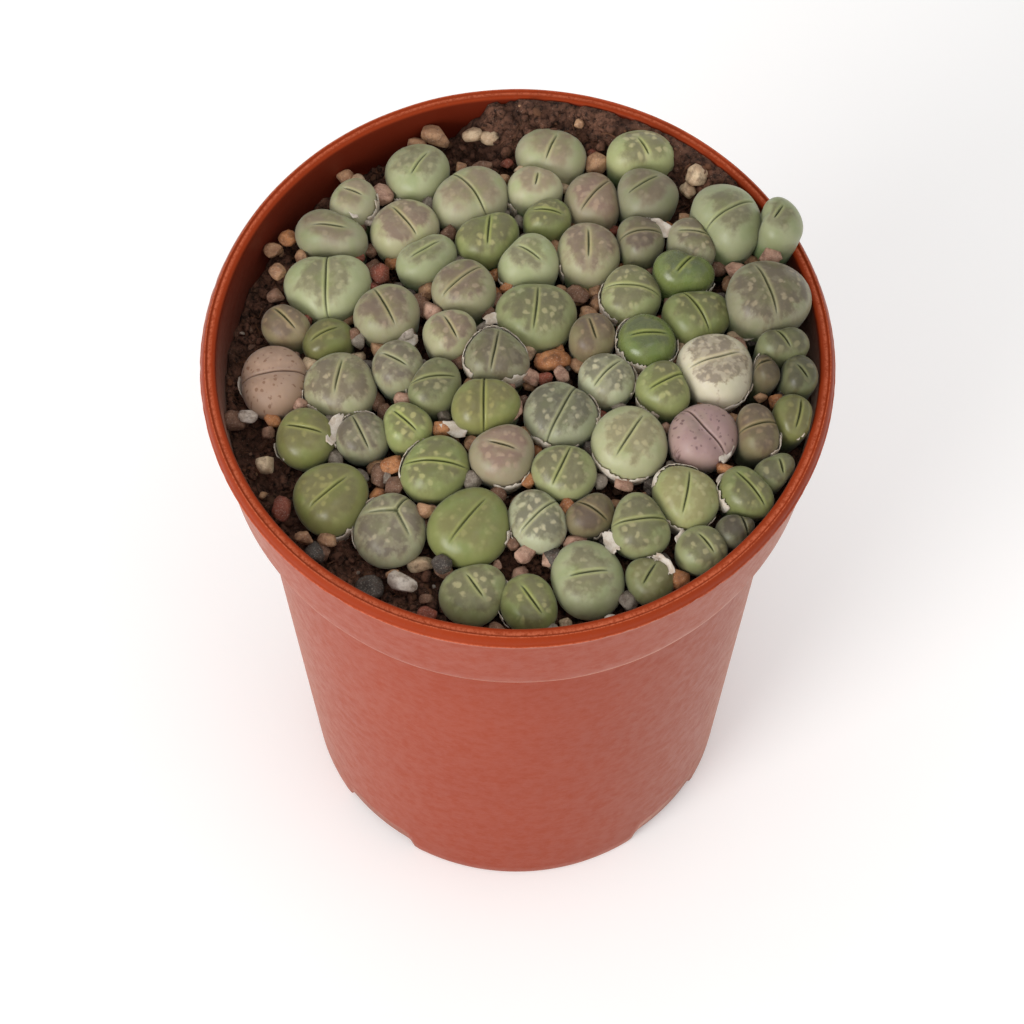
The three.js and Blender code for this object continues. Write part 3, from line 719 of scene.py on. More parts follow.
# The look of each head, plant by plant in the order of the node names, and from left to right where a
# plant has two: the kind of skin, the slit's half length as a share of the head's radius, the slit's
# direction in degrees, and old skins round it as (first angle, last angle, how far below the top).
LOOKS = [
    [("jade", 0.45, 58, [(205, 262, 4.2)])],
    [("ash", 0.5, 169, []), ("ash", 0.4, 150, [(300, 380, 2.6)])],
    [("ash", 0.95, 125, [])],
    [("ash", 0.45, 69, [(190, 230, 4.4)])],
    [("ash", 0.3, 80, [(165, 225, 3.8)]), ("moss", 0.6, 172, [])],
    [("rose", 0.75, 52, [])],
    [("sage", 0.35, 119, [])],
    [("ash", 0.6, 36, [])],
    [("taupe", 0.6, 127, []), ("jade", 0.6, 32, [])],
    [("moss", 0.6, 86, [])],
    [("jade", 0.45, 144, [(205, 250, 4)])],
    [("taupe", 0.5, 90, [(195, 225, 4)])],
    [("taupe", 0.9, 7, [(20, 75, 1.8)])],
    [("gloss", 0.5, 51, [(290, 350, 3.6)]), ("stone", 0.9, 170, [])],
    [("jade", 0.82, 33, [])],
    [("jade", 0.35, 60, [])],
    [("jade", FULL_SLIT, 90, [])],
    [("taupe", 0.7, 117, [])],
    [("umber", 0.7, 131, []), ("olive", 0.6, 27, [])],
    [("fawn", FULL_SLIT, 5, [(165, 200, 3.4)])],
    [("stone", 0.48, 79, [(150, 235, 3.2)])],
    [("olive", 0.6, 163, [(185, 215, 3.6)])],
    [("slate", 0.75, 115, [(60, 200, 2.4)]), ("moss", 0.6, 136, [])],
    [("taupe", 0.8, 40, [])],
    [("sage", 0.62, 85, [])],
    [("sage", 0.92, 173, [(150, 245, 3.2)])],
    [("moss", 0.8, 123, [])],
    [("stone", 0.7, 111, [])],
    [("slate", 0.5, 148, []), ("sage", 0.85, 8, [(180, 235, 3)])],
    [("taupe", 0.5, 118, [])],
    [("stone", 0.72, 80, [(5, 225, 2.4), (262, 330, 3)])],
    [("umber", 0.5, 107, []), ("silver", 0.7, 47, [(325, 440, 2.6)])],
    [("gloss", 0.6, 4, [(95, 290, 2.8), (310, 385, 2.8)])],
    [("moss", 0.72, 32, [(200, 260, 3.6)])],
    [("chalk", 0.7, 21, [(262, 345, 3.8)])],
    [("umber", 0.9, 28, [(60, 120, 2)])],
    [("sage", 0.5, 129, []), ("sage", 0.4, 128, [])],
    [("olive", FULL_SLIT, 90, [])],
    [("silver", FULL_SLIT, 64, [(335, 400, 2.6), (215, 300, 3.6)])],
    [("mint", 0.66, 59, [(200, 300, 3.4)])],
    [("mauve", FULL_SLIT, 131, [])],
    [("umber", 0.95, 17, [(300, 375, 2)]), ("olive", 0.7, 80, [])],
    [("olive", 0.6, 39, [(255, 350, 3.8)])],
    [("slate", 0.8, 0, [(135, 215, 3.2)])],
    [("moss", 0.92, 175, [(110, 195, 2.6)])],
    [("rose", 0.42, 162, [(255, 325, 3.4)])],
    [("lime", 0.66, 51, [(330, 375, 3)])],
    [("sage", 0.72, 66, [])],
    [("silver", 0.85, 43, [(180, 230, 3.2)]), ("umber", 0.75, 148, [(275, 350, 2.8)])],
    [("pear", 0.68, 81, [(65, 165, 2.2), (210, 330, 3.2)])],
    [("moss", 0.8, 130, [(160, 225, 2.4)]), ("sage", 0.4, 105, [])],
    [("sage", 0.98, 8, [])],
    [("sage", 0.45, 130, []), ("stone", 0.9, 114, [])],
    [("sage", 0.42, 125, [(330, 380, 3)]), ("moss", 0.55, 126, [(165, 225, 3.4)])],
    [("jade", 0.5, 9, [])],
    [("pear", 0.5, 60, [(30, 95, 1.4)])],
]


# How much paler than its kind (over 1) or darker (under 1) a head is drawn, for plants that differ: partly
# the head's own tone and partly painted light and shade, with heads that stand in shadow made darker and
# well-lit heads paler.
HEAD_TONES_AND_LIGHT = {
    "lithops_01": (1.1,), "lithops_02": (0.95, 1.2), "lithops_03": (1.2,), "lithops_04": (1.25,),
    "lithops_05": (1.4, 1.1), "lithops_07": (1.4,), "lithops_08": (0.8,), "lithops_09": (1.3, 1.0),
    "lithops_10": (1.2,), "lithops_11": (1.15,), "lithops_12": (1.25,), "lithops_13": (0.7,),
    "lithops_14": (1.0, 1.2), "lithops_15": (0.9,), "lithops_16": (0.85,), "lithops_17": (1.15,),
    "lithops_19": (1.4, 0.8), "lithops_20": (1.2,), "lithops_21": (1.4,), "lithops_23": (1.1, 1.4),
    "lithops_26": (1.2,), "lithops_29": (1.25, 0.85), "lithops_30": (1.2,), "lithops_32": (1.2, 1.35),
    "lithops_34": (1.2,), "lithops_35": (1.2,), "lithops_36": (0.75,), "lithops_37": (0.65, 0.5),
    "lithops_38": (1.1,), "lithops_40": (0.9,), "lithops_42": (1.1, 0.8), "lithops_44": (1.3,),
    "lithops_45": (1.2,), "lithops_47": (0.9,), "lithops_48": (1.15,), "lithops_49": (1.35, 1.0),
    "lithops_50": (0.95,), "lithops_51": (0.95, 0.8), "lithops_53": (1.0, 0.55), "lithops_54": (1.15, 1.2),
    "lithops_56": (0.6,),
}


class Head:
    """One head, measured from its CAD solid: middle, top, base and outline."""

    def __init__(self, tree, corners, cluster, partner, turn):
        self.top = cluster[:, 2].max()
        self.base = corners[:, 2].min()
        middle = cluster[:, :2].mean(0)
        span = np.hypot(*(cluster[:, :2] - middle).T)
        deep = (cluster[:, 2] > self.top - 1.75) & (cluster[:, 2] < self.top - 1.2)
        near = cluster[(span < 0.35 * span.max()) & deep]
        self.middle = near[:, :2].mean(0) if len(near) else middle
        self.turn = math.radians(turn)
        far = float(np.hypot(*self.middle))
        self.out = self.middle / far
        self.lean = MOST_LEAN * far / RIM_RADIUS
        self.angles = np.linspace(0, 2 * math.pi, OUTLINE_STEPS, endpoint=False)
        self.outline = self.measure(tree, partner)

    def measure(self, tree, partner):
        """The widest reach in every direction, rounded to a smooth closed curve."""
        reaches = []
        for angle in self.angles:
            direction = Vector((math.cos(angle), math.sin(angle), 0))
            reach = 0.0
            for down in MEASURED_DEPTHS:
                middle = self.middle - self.out * self.lean * down
                start = Vector((middle[0], middle[1], self.top - down))
                hit = tree.ray_cast(start + direction * 0.45, direction)
                reach = max(reach, (hit[3] or 0) + 0.45)
            if partner is not None:
                gap = partner - self.middle
                facing = (direction.x * gap[0] + direction.y * gap[1]) / np.hypot(*gap)
                if facing > 0.05:
                    reach = min(reach, np.hypot(*gap) * 0.52 / facing)
            reaches.append(reach)
        waves = [np.ones(OUTLINE_STEPS)]
        for order in (1, 2, 3):
            waves += [np.cos(order * self.angles), np.sin(order * self.angles)]
        waves = np.stack(waves, 1)
        shares = np.linalg.lstsq(waves, np.array(reaches), rcond=None)[0]
        if partner is not None:
            shares[5:] *= 0.4
        return waves @ shares + GROW

    def radius(self, angle):
        wrapped = np.mod(angle, 2 * math.pi)
        angles = np.append(self.angles, 2 * math.pi)
        return np.interp(wrapped, angles, np.append(self.outline, self.outline[0]))


def measured_heads(node, looks):
    """The heads of one plant, from left to right."""
    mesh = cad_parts[node].data
    all_corners = [Vector(vertex.co) / MM for vertex in mesh.vertices]
    tree = BVHTree.FromPolygons(all_corners, [tuple(polygon.vertices) for polygon in mesh.polygons])
    corners = np.unique(np.round(np.array(all_corners), 4), axis=0)
    high = corners[corners[:, 2] > corners[:, 2].max() - 3.4]
    turns = [look[2] for look in looks]
    if len(looks) == 1:
        return [Head(tree, corners, high, None, turns[0])]
    spread = high[:, :2] - high[:, :2].mean(0)
    axis = np.linalg.eigh(np.cov(spread.T))[1][:, 1]
    side = spread @ axis > 0
    for _ in range(8):
        first = high[side][:, :2].mean(0)
        second = high[~side][:, :2].mean(0)
        side = np.hypot(*(high[:, :2] - first).T) < np.hypot(*(high[:, :2] - second).T)
    groups = sorted([high[side], high[~side]], key=lambda group: group[:, 0].mean())
    middles = [group[:, :2].mean(0) for group in groups]
    pairs = zip(groups, reversed(middles), turns)
    return [Head(tree, corners, group, partner, turn) for group, partner, turn in pairs]


def cap_depth(mean_radius):
    """How deep the rounded top of a head is, down to its shoulder."""
    return 0.52 * mean_radius + 1.1


def slit_fields(along, across, half, turns, thin):
    """How strongly a point of the top lies in the slit, on its lips, in the valley and beside them."""
    cleft = np.zeros_like(along)
    lips = np.zeros_like(along)
    valley = np.zeros_like(along)
    away = np.ones_like(along)
    for turn in turns:
        a = along * math.cos(turn) + across * math.sin(turn)
        b = np.abs(-along * math.sin(turn) + across * math.cos(turn))
        whole = len(turns) == 1
        share = np.abs(a) / half if whole else np.where(a > 0, a / half, -a / 0.4)
        taper = np.sqrt(np.clip(1 - share ** 2, 0, 1))
        beyond = np.exp(-np.clip(share - 1, 0, 9) * 2.5)
        width = thin + 0.05 * taper
        cleft = np.maximum(cleft, taper * np.exp(-(b / width) ** 2))
        lips = np.maximum(lips, beyond * np.exp(-((b - 0.3) / 0.17) ** 2) * np.sqrt(taper * 0.9 + 0.1))
        valley = np.maximum(valley, beyond * np.exp(-(b / 1.1) ** 2))
        away = np.minimum(away, 1 - (0.3 + 0.6 * beyond) * np.exp(-(b / 0.42) ** 2))
    return cleft, lips, valley, away


def add_head(name, head, look, seed):
    kind, reach_share = look[:2]
    rng = np.random.default_rng(seed)
    three_lobed = name == THREE_LOBED
    cap_steps = CAP_STEPS_THREE_LOBED if three_lobed else CAP_STEPS
    steps = np.linspace(-1, 1, cap_steps + 1)
    crowded = np.sign(steps) * np.abs(steps) ** 1.55
    grid_u, grid_v = np.meshgrid(steps, steps if three_lobed else crowded, indexing="ij")
    disc_a = grid_u * np.sqrt(1 - grid_v ** 2 / 2)
    disc_b = grid_v * np.sqrt(1 - grid_u ** 2 / 2)
    share = np.hypot(disc_a, disc_b)
    angle = np.arctan2(disc_b, disc_a)
    reach = np.sin(share * math.pi / 2)
    radius = head.radius(angle + head.turn)
    along = radius * reach * np.cos(angle)
    across = radius * reach * np.sin(angle)
    mean = head.outline.mean()
    cap = cap_depth(mean)

    turns = [math.radians(turn) for turn in THREE_SLITS] if three_lobed else [0.0]
    half = max(0.8, reach_share * mean)
    thin = 0.085 if three_lobed else 0.045
    cleft, lips, valley, away = slit_fields(along, across, half, turns, thin)
    down = cap * (1 - (1 - np.clip(reach, 0, 1) ** CAP_POWER) ** (1 / CAP_POWER))
    phase = rng.uniform(0, 6.28, 6)
    bulge = 0.10 * np.sin(0.8 * along + phase[0]) * np.cos(0.7 * across + phase[1])
    bulge += 0.04 * np.sin(1.9 * along + phase[2]) * np.cos(2.1 * across + phase[3])
    flat = 1 - reach ** 4
    leaf_rise = 0 if three_lobed else LEAF_RISE * (1 - np.exp(-(across / (0.42 * mean)) ** 2)) * flat
    depth = FULL_VALLEY_DEPTH if reach_share > 1 else VALLEY_DEPTH
    down = down + CLEFT_DEPTH * cleft + depth * valley - LIP_RISE * lips - leaf_rise - bulge * flat
    bend = MAUVE_BEND if kind == "mauve" else rng.uniform(-0.02, 0.02)
    across = across + bend * (along ** 2 - (0.4 * half) ** 2) * (1 - reach ** 2)

    count = cap_steps + 1
    index = np.arange(count * count).reshape(count, count)
    rim = np.concatenate([index[0, :-1], index[:-1, -1], index[-1, :0:-1], index[:0:-1, 0]])
    rim_angle = angle.ravel()[rim]
    rim_along = along.ravel()[rim]
    rim_across = across.ravel()[rim]
    rim_radius = radius.ravel()[rim]
    height = head.top - head.base
    wave = rng.uniform(0, 6.28, 4)
    sides = []
    for step in range(1, SIDE_STEPS + 1):
        low = step / SIDE_STEPS
        ripple = 0.014 * np.sin(5 * rim_angle + wave[0] + 3 * low)
        ripple += 0.008 * np.sin(9 * rim_angle + wave[1] - 5 * low)
        pinch = 1 - SIDE_PINCH * low ** 1.7 + min(1, 2 * low) * ripple
        groove = 0.3 * np.exp(-(rim_across / 0.35) ** 2) * 2 * low * max(0.0, 1 - low * 1.6)
        groove = groove if reach_share > 1 else 0
        width = (rim_radius * pinch - groove) / rim_radius
        side_down = cap + low * (height - cap)
        sides.append((rim_along * width, rim_across * width, np.full(len(rim), side_down), low))

    a = np.concatenate([along.ravel()] + [row[0] for row in sides])
    b = np.concatenate([across.ravel()] + [row[1] for row in sides])
    d = np.concatenate([down.ravel()] + [row[2] for row in sides])
    lows = np.concatenate([np.zeros(count * count)] + [np.full(len(rim), row[3]) for row in sides])
    out = head.out
    lean = head.lean
    x = a * math.cos(head.turn) - b * math.sin(head.turn)
    y = a * math.sin(head.turn) + b * math.cos(head.turn)
    outward = x * out[0] + y * out[1]
    z = head.top - d - lean * outward * (1 - lows)
    x = x + head.middle[0] - out[0] * lean * d
    y = y + head.middle[1] - out[1] * lean * d

    faces = []
    for i in range(cap_steps):
        for j in range(cap_steps):
            faces.append((index[i, j], index[i + 1, j], index[i + 1, j + 1], index[i, j + 1]))
    around = len(rim)
    rows = [rim] + [np.arange(around) + count * count + around * k for k in range(SIDE_STEPS)]
    for upper, lower in zip(rows[:-1], rows[1:]):
        for k in range(around):
            after = (k + 1) % around
            faces.append((upper[k], upper[after], lower[after], lower[k]))
    faces.append(tuple(rows[-1]))
    faces = [tuple(int(corner) for corner in face) for face in faces]

    zeros = np.zeros(len(a) - count * count)
    own = seed * 7.31 % 97
    spot = np.stack([a, b, np.full(len(a), own) + 0.8 * lows * height], 1)
    zone_reach = np.concatenate([reach.ravel(), 1 + 0 * zeros]) + lows
    zone = np.stack([zone_reach, lows, np.concatenate([cleft.ravel(), zeros])], 1)
    lips_below = np.concatenate([lips.ravel(), zeros])
    away_below = np.concatenate([away.ravel(), 1 + zeros])
    slit = np.stack([lips_below, away_below, 0 * a], 1)
    return np.stack([x, y, z], 1), faces, spot, zone, slit, kind


def add_plant(node, looks, materials):
    heads = measured_heads(node, looks)
    for place, (head, look) in enumerate(zip(heads, looks)):
        seed = int(node[-2:]) * 3 + place
        points, faces, spot, zone, slit, kind = add_head(node, head, look, seed)
        name = node + "_head" + ("_left", "_right")[place] if len(heads) == 2 else node + "_head"
        piece = make_object(name, points, faces, materials[kind])
        add_vectors(piece, "spot", spot)
        add_vectors(piece, "zone", zone)
        add_vectors(piece, "slit", slit)
        # Partly the head's own tone, partly painted light and shade.
        tone = HEAD_TONES_AND_LIGHT[node][place] if node in HEAD_TONES_AND_LIGHT else 1.0
        add_vectors(piece, "tone", np.full((len(points), 3), tone))
        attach(piece, "root")
        HEADS.append(head)
        for number, old_skin in enumerate(look[3]):
            add_old_skin(f"{name}_old_skin_{number + 1}", head, old_skin, seed * 10 + number)
    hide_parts(node)


# ---------------------------------------------------------------- old papery skins


def paper_material():
    shading = Shading("old_skin_paper", roughness=0.75, specular=0.3)
    place = shading.position()
    stain = shading.noise(place, 0.9, 4.0, 0.65)
    vein = shading.noise(place, 5.0, 4.0, 0.7)
    color = shading.mix(shading.step(stain, 0.35, 0.7), rgb(214, 204, 192), rgb(186, 168, 150))
    color = shading.mix(shading.step(vein, 0.55, 0.75, 0.0, 0.4), color, rgb(160, 136, 112))
    shading.scatter(0.1, (0.6, 0.5, 0.4))
    return shading.finish(color, shading.bump(vein, 0.6, 0.12))


OLD_SKIN_DEPTH = 4.2          # from its torn edge down into the soil
OLD_SKIN_SIDES = (0.03, 0.13)   # how far its inner and outer side stand off the head
OLD_SKIN_ROWS = 5


def add_old_skin(name, head, old_skin, seed):
    """A thin ragged collar of dry leaf that clings to one side of a head."""
    first, last, down = old_skin
    rng = random.Random(seed)
    steps = max(10, int((last - first) / 3))
    rows = OLD_SKIN_ROWS
    middle = head.middle
    out = head.out
    lean = head.lean
    cap = cap_depth(float(head.outline.mean()))
    shift = Vector((rng.uniform(0, 50), rng.uniform(0, 50), 0))
    inner = []
    outer = []
    for row in range(rows):
        for step in range(steps + 1):
            share = step / steps
            angle = math.radians(first + (last - first) * share)
            taper = math.sin(math.pi * share) ** 0.45
            ragged = noise.fractal(Vector((angle * 5, 0, 0)) + shift, 0.8, 2.2, 5)
            top = down - (0.4 + 1.1 * ragged) * taper
            depth = top + (OLD_SKIN_DEPTH * taper + 0.4) * row / (rows - 1)
            cling = noise.noise(Vector((angle * 3, depth, 1)) + shift)
            radius = float(head.radius(angle))
            shoulder = max(0.0, 1 - depth / cap)
            pinch = (1 - shoulder ** 2.1) ** 0.48 - 0.3 * max(0.0, (depth - 3.4) / 7) ** 1.6
            flare = 0.26 * taper * (1 - row / (rows - 1)) ** 2
            for shell, offset in zip((inner, outer), OLD_SKIN_SIDES):
                reach = radius * pinch + offset + flare + 0.1 * cling
                x = middle[0] + reach * math.cos(angle) - out[0] * lean * depth
                y = middle[1] + reach * math.sin(angle) - out[1] * lean * depth
                tilt = lean * reach * (math.cos(angle) * out[0] + math.sin(angle) * out[1])
                shell.append((x, y, head.top - depth - tilt))
    piece = make_object(name, outer + inner, sheet_faces(rows, steps + 1), OLD_SKIN)
    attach(piece, "root")


# ---------------------------------------------------------------- grit and soil crumbs

GRIT_COLORS = {
    "tan": ((178, 138, 104), (146, 106, 78)),
    "orange": ((182, 124, 80), (150, 94, 58)),
    "pink": ((188, 150, 130), (152, 114, 96)),
    "cream": ((208, 184, 152), (178, 148, 118)),
    "brown": ((132, 98, 78), (100, 70, 54)),
    "red": ((140, 74, 56), (110, 56, 42)),
    "grey": ((142, 132, 120), (108, 98, 88)),
    "dark": ((88, 80, 74), (58, 52, 48)),
    "white": ((212, 200, 188), (172, 156, 142)),
}

# Stones and large grit: x, y, length, width, depth below the rim, colour.
GRIT = [
    (1.8, -2.3, 3.2, 2.4, 1.6, "pink"), (5.8, -1.6, 2.8, 2.0, 1.8, "pink"),
    (-0.3, -7.4, 3.0, 2.4, 1.0, "pink"), (-16.6, -14.6, 3.6, 2.4, 3.4, "orange"),
    (-18.2, -15.8, 3.8, 2.6, 4.2, "brown"), (-18.5, 14.6, 3.4, 3.0, 3.2, "red"),
    (-13.2, 9.4, 3.6, 3.0, 3.0, "brown"), (-15.2, 4.6, 2.6, 2.6, 2.4, "white"),
    (-21.5, 4.4, 3.2, 2.8, 3.2, "grey"), (-11.4, 36.4, 4.2, 3.6, 3.4, "tan"),
    (-13.8, 35.2, 3.2, 2.8, 4.2, "tan"), (-6.4, 36.6, 3.0, 2.8, 3.6, "cream"),
    (-3.9, 36.4, 2.8, 2.6, 3.8, "cream"), (10.8, 31.6, 3.6, 3.2, 2.6, "tan"),
    (24.3, 28.6, 3.2, 3.0, 0.2, "cream"), (33.8, 14.8, 3.2, 2.8, -1.6, "pink"),
    (29.2, 13.6, 2.8, 2.4, 0.2, "pink"), (27.6, -16.2, 3.4, 2.2, 1.4, "orange"),
    (14.2, -18.0, 2.8, 2.2, 2.2, "pink"), (-2.6, -19.2, 3.4, 2.2, 3.0, "brown"),
    (-12.0, -21.6, 3.0, 2.2, 2.8, "tan"), (-23.6, 30.6, 2.6, 2.2, 5.0, "tan"),
    (-31.3, 21.0, 2.6, 2.4, 5.0, "orange"), (-33.2, 19.2, 2.9, 2.4, 5.2, "tan"),
    (-18.6, 27.2, 3.4, 3.4, 3.6, "pink"), (-20.6, 23.2, 3.4, 2.0, 3.2, "white"),
    (-37.8, -6.6, 3.6, 3.0, 6.0, "brown"), (-36.0, -6.4, 2.8, 2.4, 5.0, "white"),
    (-15.2, -31.2, 4.2, 3.4, 5.2, "white"), (-9.8, -29.6, 3.2, 2.4, 4.6, "brown"),
    (-26.6, -26.6, 3.0, 2.8, 5.6, "dark"), (-25.0, -25.0, 2.9, 2.3, 5.0, "tan"),
    (1.4, -27.4, 3.8, 2.4, 3.8, "pink"), (4.2, -27.8, 3.2, 2.0, 4.2, "pink"),
    (21.4, -31.4, 3.4, 2.8, 3.8, "orange"), (-11.8, -35.2, 3.2, 2.2, 6.4, "red"),
    (4.8, -38.2, 2.6, 2.0, 5.4, "grey"), (-2.6, -38.0, 2.8, 2.2, 5.6, "brown"),
    (12.4, -37.0, 2.4, 2.0, 4.8, "white"), (8.2, 11.0, 3.0, 2.4, 2.8, "tan"),
    (10.8, 10.0, 2.8, 2.4, 3.2, "brown"), (-3.2, 11.0, 2.4, 2.0, 2.6, "orange"),
    (-7.0, 7.4, 2.4, 2.0, 2.4, "white"), (-20.0, 0.4, 2.6, 2.2, 3.2, "dark"),
    (29.6, 2.4, 3.0, 2.2, 1.4, "pink"), (31.6, 4.0, 2.6, 2.2, 1.8, "dark"),
    (34.6, -5.6, 2.6, 2.2, 1.6, "orange"), (18.2, -18.4, 2.6, 2.0, 3.2, "dark"),
    (23.0, 22.6, 3.4, 2.8, 3.6, "brown"), (6.4, 0.4, 2.4, 1.8, 3.0, "dark"),
]


SPECKLED = 0.35


def stone_material(name, pale, deep):
    shading = Shading(name, roughness=0.72, specular=0.35)
    place = shading.position()
    patch = shading.noise(place, 0.5, 4.0, 0.6)
    grain = shading.noise(place, 4.5, 6.0, 0.75)
    color = shading.mix(shading.step(patch, 0.35, 0.68), rgb(*pale), rgb(*deep))
    color = shading.mix(shading.step(grain, 0.52, 0.7, 0.0, SPECKLED), color, rgb(240, 226, 208))
    color = shading.mix(shading.step(grain, 0.28, 0.42, 0.5, 0.0), color, rgb(84, 60, 48))
    dirt = shading.noise(place, 0.9, 5.0, 0.7)
    color = shading.mix(shading.step(dirt, 0.46, 0.68, 0.0, 0.6), color, rgb(78, 54, 42))
    normal = shading.bump(grain, 0.5, 0.16)
    return shading.finish(color, normal)


def stone_points(seed, length, width, height, roundness=0.2, fineness=3):
    """Points and faces of an uneven stone round the origin."""
    shape = bmesh.new()
    bmesh.ops.create_icosphere(shape, subdivisions=fineness, radius=1)
    rng = random.Random(seed)
    shift = Vector((rng.uniform(0, 90), rng.uniform(0, 90), rng.uniform(0, 90)))
    flats = []
    for _ in range(9):
        flat_direction = Vector((rng.gauss(0, 1), rng.gauss(0, 1), rng.gauss(0, 1))).normalized()
        flats.append((flat_direction, rng.uniform(0.62, 0.9)))
    points = []
    for vertex in shape.verts:
        direction = vertex.co.normalized()
        bump = 1 + roundness * noise.fractal(direction * 1.1 + shift, 1.0, 2.0, 3)
        squared = Vector([math.copysign(abs(part) ** 0.86, part) for part in direction])
        point = squared * bump
        for flat_direction, flat_reach in flats:
            over = point.dot(flat_direction) - flat_reach
            if over > 0:
                point -= flat_direction * (over * 0.9)
        points.append((point.x * length / 2, point.y * width / 2, point.z * height / 2))
    faces = [tuple(vertex.index for vertex in face.verts) for face in shape.faces]
    shape.free()
    return np.array(points), faces


def turned(points, turn, tilt):
    matrix = np.array(Euler((tilt, 0, turn), "XYZ").to_matrix())
    return points @ matrix.T


def add_grit(materials):
    for number, (x, y, length, width, below, color) in enumerate(GRIT):
        rng = random.Random(500 + number)
        points, faces = stone_points(number, length, width, 0.8 * width, 0.22)
        points = turned(points, rng.uniform(0, math.pi), rng.uniform(-0.4, 0.4))
        points = points + np.array((x, y, POT_HEIGHT - below))
        stone = make_object(f"grit_{number + 1:02d}_{color}", points, faces, materials[color])
        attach(stone, "root")


WEDGE_TRIES = 9000
WEDGE_REACH = 37.5          # how far from the axis stones are tried
WEDGE_SPARSE_FROM = 31      # further out than this, most are left out
WEDGE_GAPS = (0.25, 1.8)    # how far a stone's middle may be from the nearest head


def nearest_head(x, y):
    """The gap to the nearest head, and the height of that head's top."""
    clear = 9.0
    top = 0.0
    for head in HEADS:
        dx = x - head.middle[0]
        dy = y - head.middle[1]
        apart = math.hypot(dx, dy)
        if apart < 9:
            gap = apart - float(head.radius(math.atan2(dy, dx)))
            if gap < clear:
                clear = gap
                top = head.top
    return clear, top


def add_wedged_grit(materials):
    """Small stones that sit in the gaps between the heads, well below their tops."""
    rng = random.Random(61)
    placed = []
    colors = ["tan", "pink", "brown", "brown", "orange", "cream", "red", "dark", "grey", "tan"]
    groups = {color: ([], []) for color in colors}
    for number in range(WEDGE_TRIES):
        angle = rng.uniform(0, 2 * math.pi)
        radius = WEDGE_REACH * math.sqrt(rng.uniform(0, 1))
        x = radius * math.cos(angle)
        y = radius * math.sin(angle)
        clear, top = nearest_head(x, y)
        size = rng.uniform(1.5, 2.7)
        crowded_out = radius > WEDGE_SPARSE_FROM and rng.random() < 0.93
        fits = WEDGE_GAPS[0] < clear < WEDGE_GAPS[1]
        if crowded_out or not fits:
            continue
        if any(math.hypot(x - a, y - b) < 0.5 * (size + other) for a, b, other in placed):
            continue
        placed.append((x, y, size))
        color = rng.choice(colors)
        stone, faces = stone_points(900 + number, size * rng.uniform(1, 1.4), size, size, 0.3)
        stone = turned(stone, rng.uniform(0, 6.28), rng.uniform(-0.6, 0.6))
        height = min(top - rng.uniform(3.6, 5.2), POT_HEIGHT - 2)
        points, all_faces = groups[color]
        start = len(points)
        points.extend((stone + np.array((x, y, height))).tolist())
        all_faces.extend(tuple(corner + start for corner in face) for face in faces)
    for color, (points, all_faces) in groups.items():
        if not points:
            continue
        stones_of_color = make_object("wedged_grit_" + color, points, all_faces, materials[color])
        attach(stones_of_color, "root")


def add_shard(name, x, y, below, length, width, heading, tilt, seed):
    """A loose, slightly curled flake of old leaf."""
    rng = random.Random(seed)
    columns = 11
    rows = 6
    shift = Vector((rng.uniform(0, 50), rng.uniform(0, 50), 0))
    matrix = Euler((tilt, 0, math.radians(heading)), "XYZ").to_matrix()
    top = []
    under = []
    for row in range(rows):
        for column in range(columns):
            u = column / (columns - 1) * 2 - 1
            v = row / (rows - 1) * 2 - 1
            patchy = 1 + 0.45 * noise.noise(Vector((u * 1.7, v * 0.6, 0)) + shift)
            a = u * length / 2 * (1 + 0.3 * noise.noise(Vector((v * 1.5, 5, u)) + shift))
            b = v * width / 2 * patchy * (1 - 0.55 * u * u)
            curl = 0.28 * u * u * length / 3 + 0.25 * noise.noise(Vector((a, b, 3)) + shift)
            for shell, lift in ((top, 0.05), (under, -0.05)):
                place = matrix @ Vector((a, b, curl + lift))
                shell.append((place.x + x, place.y + y, place.z + POT_HEIGHT - below))
    shard = make_object(name, top + under, sheet_faces(rows, columns), OLD_SKIN)
    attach(shard, "root")


# Loose flakes: x, y, depth below the rim, length, width, heading and tilt.
SHARDS = [
    (-24.4, -9.6, 2.6, 4.6, 2.2, 70, 0.5), (-8.4, -10.2, 1.4, 3.6, 1.8, -25, 0.3),
    (36.4, -10.6, 0.4, 3.6, 2.6, -40, 0.5), (27.6, -14.2, 0.4, 3.0, 1.5, 60, 0.6),
    (27.4, -17.6, 1.0, 2.6, 1.4, 40, 0.5), (19.4, -30.0, 2.0, 3.4, 2.0, -50, 0.6),
    (12.4, -26.6, 2.2, 3.2, 2.2, -60, 0.4), (21.6, -26.0, 2.2, 2.4, 1.5, 70, 0.5),
    (8.4, -26.6, 3.4, 2.6, 1.6, 10, 0.3), (-22.4, 23.6, 1.2, 3.2, 1.8, 100, 0.4),
    (19.4, 19.6, -0.6, 3.6, 2.2, -30, 0.4), (14.8, 8.0, 1.0, 2.4, 1.6, 70, 0.7),
    (30.6, 4.6, 0.6, 3.2, 2.4, -30, 0.5), (33.0, 2.0, 0.2, 2.6, 1.8, 30, 0.4),
    (-3.0, 6.4, 1.0, 3.0, 1.6, 10, 0.6), (-14.4, 3.6, 2.4, 2.6, 1.8, 60, 0.4),
    (10.4, -8.2, 1.4, 2.6, 1.4, 80, 0.7), (-30.8, -12.4, 4.6, 2.2, 1.2, 80, 0.6),
]


def add_cad_stone(node, color, materials):
    low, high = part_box(node)
    middle = np.array((low + high) / 2) / MM
    size = np.array(high - low) / MM
    height = min(size[2], 3.4)
    points, faces = stone_points(7 + len(node), size[0] * 1.04, size[1] * 1.06, height, 0.12)
    points = points + np.array((middle[0], middle[1], high.z / MM - height / 2))
    stone = make_object(node + "_smooth", points, faces, materials[color])
    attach(stone, "root")
    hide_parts(node)


CRUMB_SHAPES = 40
CRUMB_REACH = 39.2     # how far from the axis crumbs are dropped


